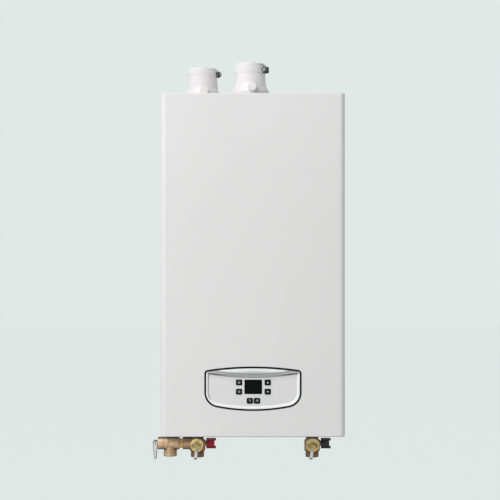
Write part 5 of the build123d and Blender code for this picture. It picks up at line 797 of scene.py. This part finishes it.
def key_symbol(name, shapes, key_x, key_z, body):
    """One thin solid from closed outlines in millimetres, placed on a key's face."""
    bm = bmesh.new()
    for outline in shapes:
        points = [(key_x + x / 1000, KEY_FACE - INK_THICK / 2, key_z + z / 1000) for x, z in outline]
        bm.faces.new([bm.verts.new(point) for point in points])
    solid = bmesh.ops.extrude_face_region(bm, geom=list(bm.faces))
    moved = [v for v in solid["geom"] if isinstance(v, bmesh.types.BMVert)]
    bmesh.ops.translate(bm, verts=moved, vec=(0, INK_THICK, 0))
    new_piece(name, bm, ink, body)


def bar(x0, z0, x1, z1, width):
    """A straight stroke between two points."""
    dx, dz = x1 - x0, z1 - z0
    long = math.hypot(dx, dz)
    nx, nz = -dz / long * width / 2, dx / long * width / 2
    return [(x0 + nx, z0 + nz), (x1 + nx, z1 + nz), (x1 - nx, z1 - nz), (x0 - nx, z0 - nz)]


def arc(radius, start, end, width, cx=0.0, cz=0.0):
    """A stroke along an arc, angles in degrees, as short four-sided pieces."""
    inner, outer = radius - width / 2, radius + width / 2
    shapes = []
    for step in range(ARC_STEPS):
        a0 = math.radians(start + (end - start) * step / ARC_STEPS)
        a1 = math.radians(start + (end - start) * (step + 1) / ARC_STEPS)
        corners = ((inner, a0), (outer, a0), (outer, a1), (inner, a1))
        shapes.append([(cx + r * math.cos(angle), cz + r * math.sin(angle)) for r, angle in corners])
    return shapes


seal_and_gap_shade_lip()
relief_coil()

# Generic key symbols, in millimetres from the key's middle, and the keys' places on the panel in metres
symbols = {
    "power": arc(2.3, 130, 410, STROKE) + [bar(0, 0.6, 0, 3.3, STROKE)],
    "menu": [bar(-2.4, z, 2.4, z, STROKE) for z in (-1.7, 0, 1.7)],
    "up": [[(-2.6, -1.4), (2.6, -1.4), (0, 2.0)]],
    "down": [[(-2.6, 1.4), (0, -2.0), (2.6, 1.4)]],
    "water": [bar(-2.6, 1.6, 1.4, 1.6, 1.0), bar(1.0, 2.1, 1.0, -0.4, 1.0), bar(-1.4, 3.0, 0.4, 3.0, 0.6)]
    + [bar(-0.6, 3.0, -0.6, 1.6, 0.7), bar(1.0, -1.4, 1.0, -2.6, 0.8)],
    "service": [bar(-1.9, -1.9, 1.2, 1.2, 1.0)] + arc(1.7, 90, 360, 0.9, cx=1.6, cz=1.6),
}
key_places = {
    "power": (-0.035, 0.0152),
    "menu": (-0.035, -0.0072),
    "up": (0.035, 0.0152),
    "down": (0.035, -0.0072),
    "water": (-0.00865, -0.0295),
    "service": (0.00865, -0.0295),
}
for key, (key_x, key_z) in key_places.items():
    key_symbol(f"{key}_symbol", symbols[key], KEY_RIGHT + key_x, PANEL_Z + key_z, f"{key}_button")


# Stage: a plain pale world, a pale floor well below the heater, and soft lights
def pale_world():
    """White light on the object, and the background's colour for the camera, gloss and glass."""
    world = bpy.data.worlds.new("pale")
    bpy.context.scene.world = world
    world.use_nodes = True
    tree = world.node_tree
    tree.nodes.clear()
    path = add_node(tree, "ShaderNodeLightPath").outputs
    seen = path["Is Camera Ray"]
    for ray in ("Is Glossy Ray", "Is Transmission Ray"):
        seen = add_node(tree, "ShaderNodeMath", (seen, path[ray]), operation="MAXIMUM").outputs[0]
    light = add_node(tree, "ShaderNodeBackground", (color(1.0, 1.0, 1.0), WORLD_STRENGTH))
    pale = add_node(tree, "ShaderNodeBackground", [BACKGROUND])
    mix = add_node(tree, "ShaderNodeMixShader", (seen, light.outputs[0], pale.outputs[0]))
    add_node(tree, "ShaderNodeOutputWorld", [mix.outputs[0]])


def floor_material():
    """Matt floor that mostly glows in the background's colour where the camera sees it."""
    material = bpy.data.materials.new("floor")
    material.use_nodes = True
    tree = material.node_tree
    tree.nodes.clear()
    path = add_node(tree, "ShaderNodeLightPath").outputs
    share = add_node(tree, "ShaderNodeMath", (path["Is Camera Ray"], FLOOR_GLOW_SHARE), operation="MULTIPLY")
    matt = add_node(tree, "ShaderNodeBsdfDiffuse", [BACKGROUND])
    glow = add_node(tree, "ShaderNodeEmission", (BACKGROUND, FLOOR_GLOW))
    mix = add_node(tree, "ShaderNodeMixShader", (share.outputs[0], matt.outputs[0], glow.outputs[0]))
    add_node(tree, "ShaderNodeOutputMaterial", [mix.outputs[0]])
    return material


def add_floor():
    """Square floor."""
    mesh = bpy.data.meshes.new("floor")
    signs = [(-1, -1), (1, -1), (1, 1), (-1, 1)]
    corners = [(x * FLOOR_HALF, y * FLOOR_HALF, FLOOR_LEVEL) for x, y in signs]
    mesh.from_pydata(corners, [], [(0, 1, 2, 3)])
    floor = bpy.data.objects.new("floor", mesh)
    bpy.context.scene.collection.objects.link(floor)
    mesh.materials.append(floor_material())


def add_light(name, place, size, power):
    """Area light in watts, aimed at the heater's middle."""
    data = bpy.data.lights.new(name, "AREA")
    data.shape = "RECTANGLE"
    data.size, data.size_y = size
    data.energy = power
    lamp = bpy.data.objects.new(name, data)
    lamp.location = place
    lamp.rotation_mode = "QUATERNION"
    lamp.rotation_quaternion = (Vector(LIT_POINT) - Vector(place)).to_track_quat("-Z", "Y")
    bpy.context.scene.collection.objects.link(lamp)


def add_camera():
    """Level camera, 3 m in front of the casing."""
    data = bpy.data.cameras.new("camera")
    data.lens = LENS
    data.sensor_width = SENSOR
    data.shift_x = SHIFT_X
    data.shift_y = SHIFT_Y
    camera = bpy.data.objects.new("camera", data)
    camera.location = CAMERA_PLACE
    camera.rotation_euler = (math.radians(90), 0, 0)
    bpy.context.scene.collection.objects.link(camera)
    bpy.context.scene.camera = camera


pale_world()
add_floor()
add_light("key_light", place=(-1.5, -2.2, 2.2), size=(1.8, 1.8), power=70.0)
add_light("low_light", place=(-1.1, -3.4, -1.1), size=(1.6, 1.2), power=14.0)
add_light("left_light", place=(-3.2, -0.9, 0.2), size=(1.6, 2.4), power=9.0)
add_camera()
bpy.context.scene.view_settings.view_transform = "Standard"
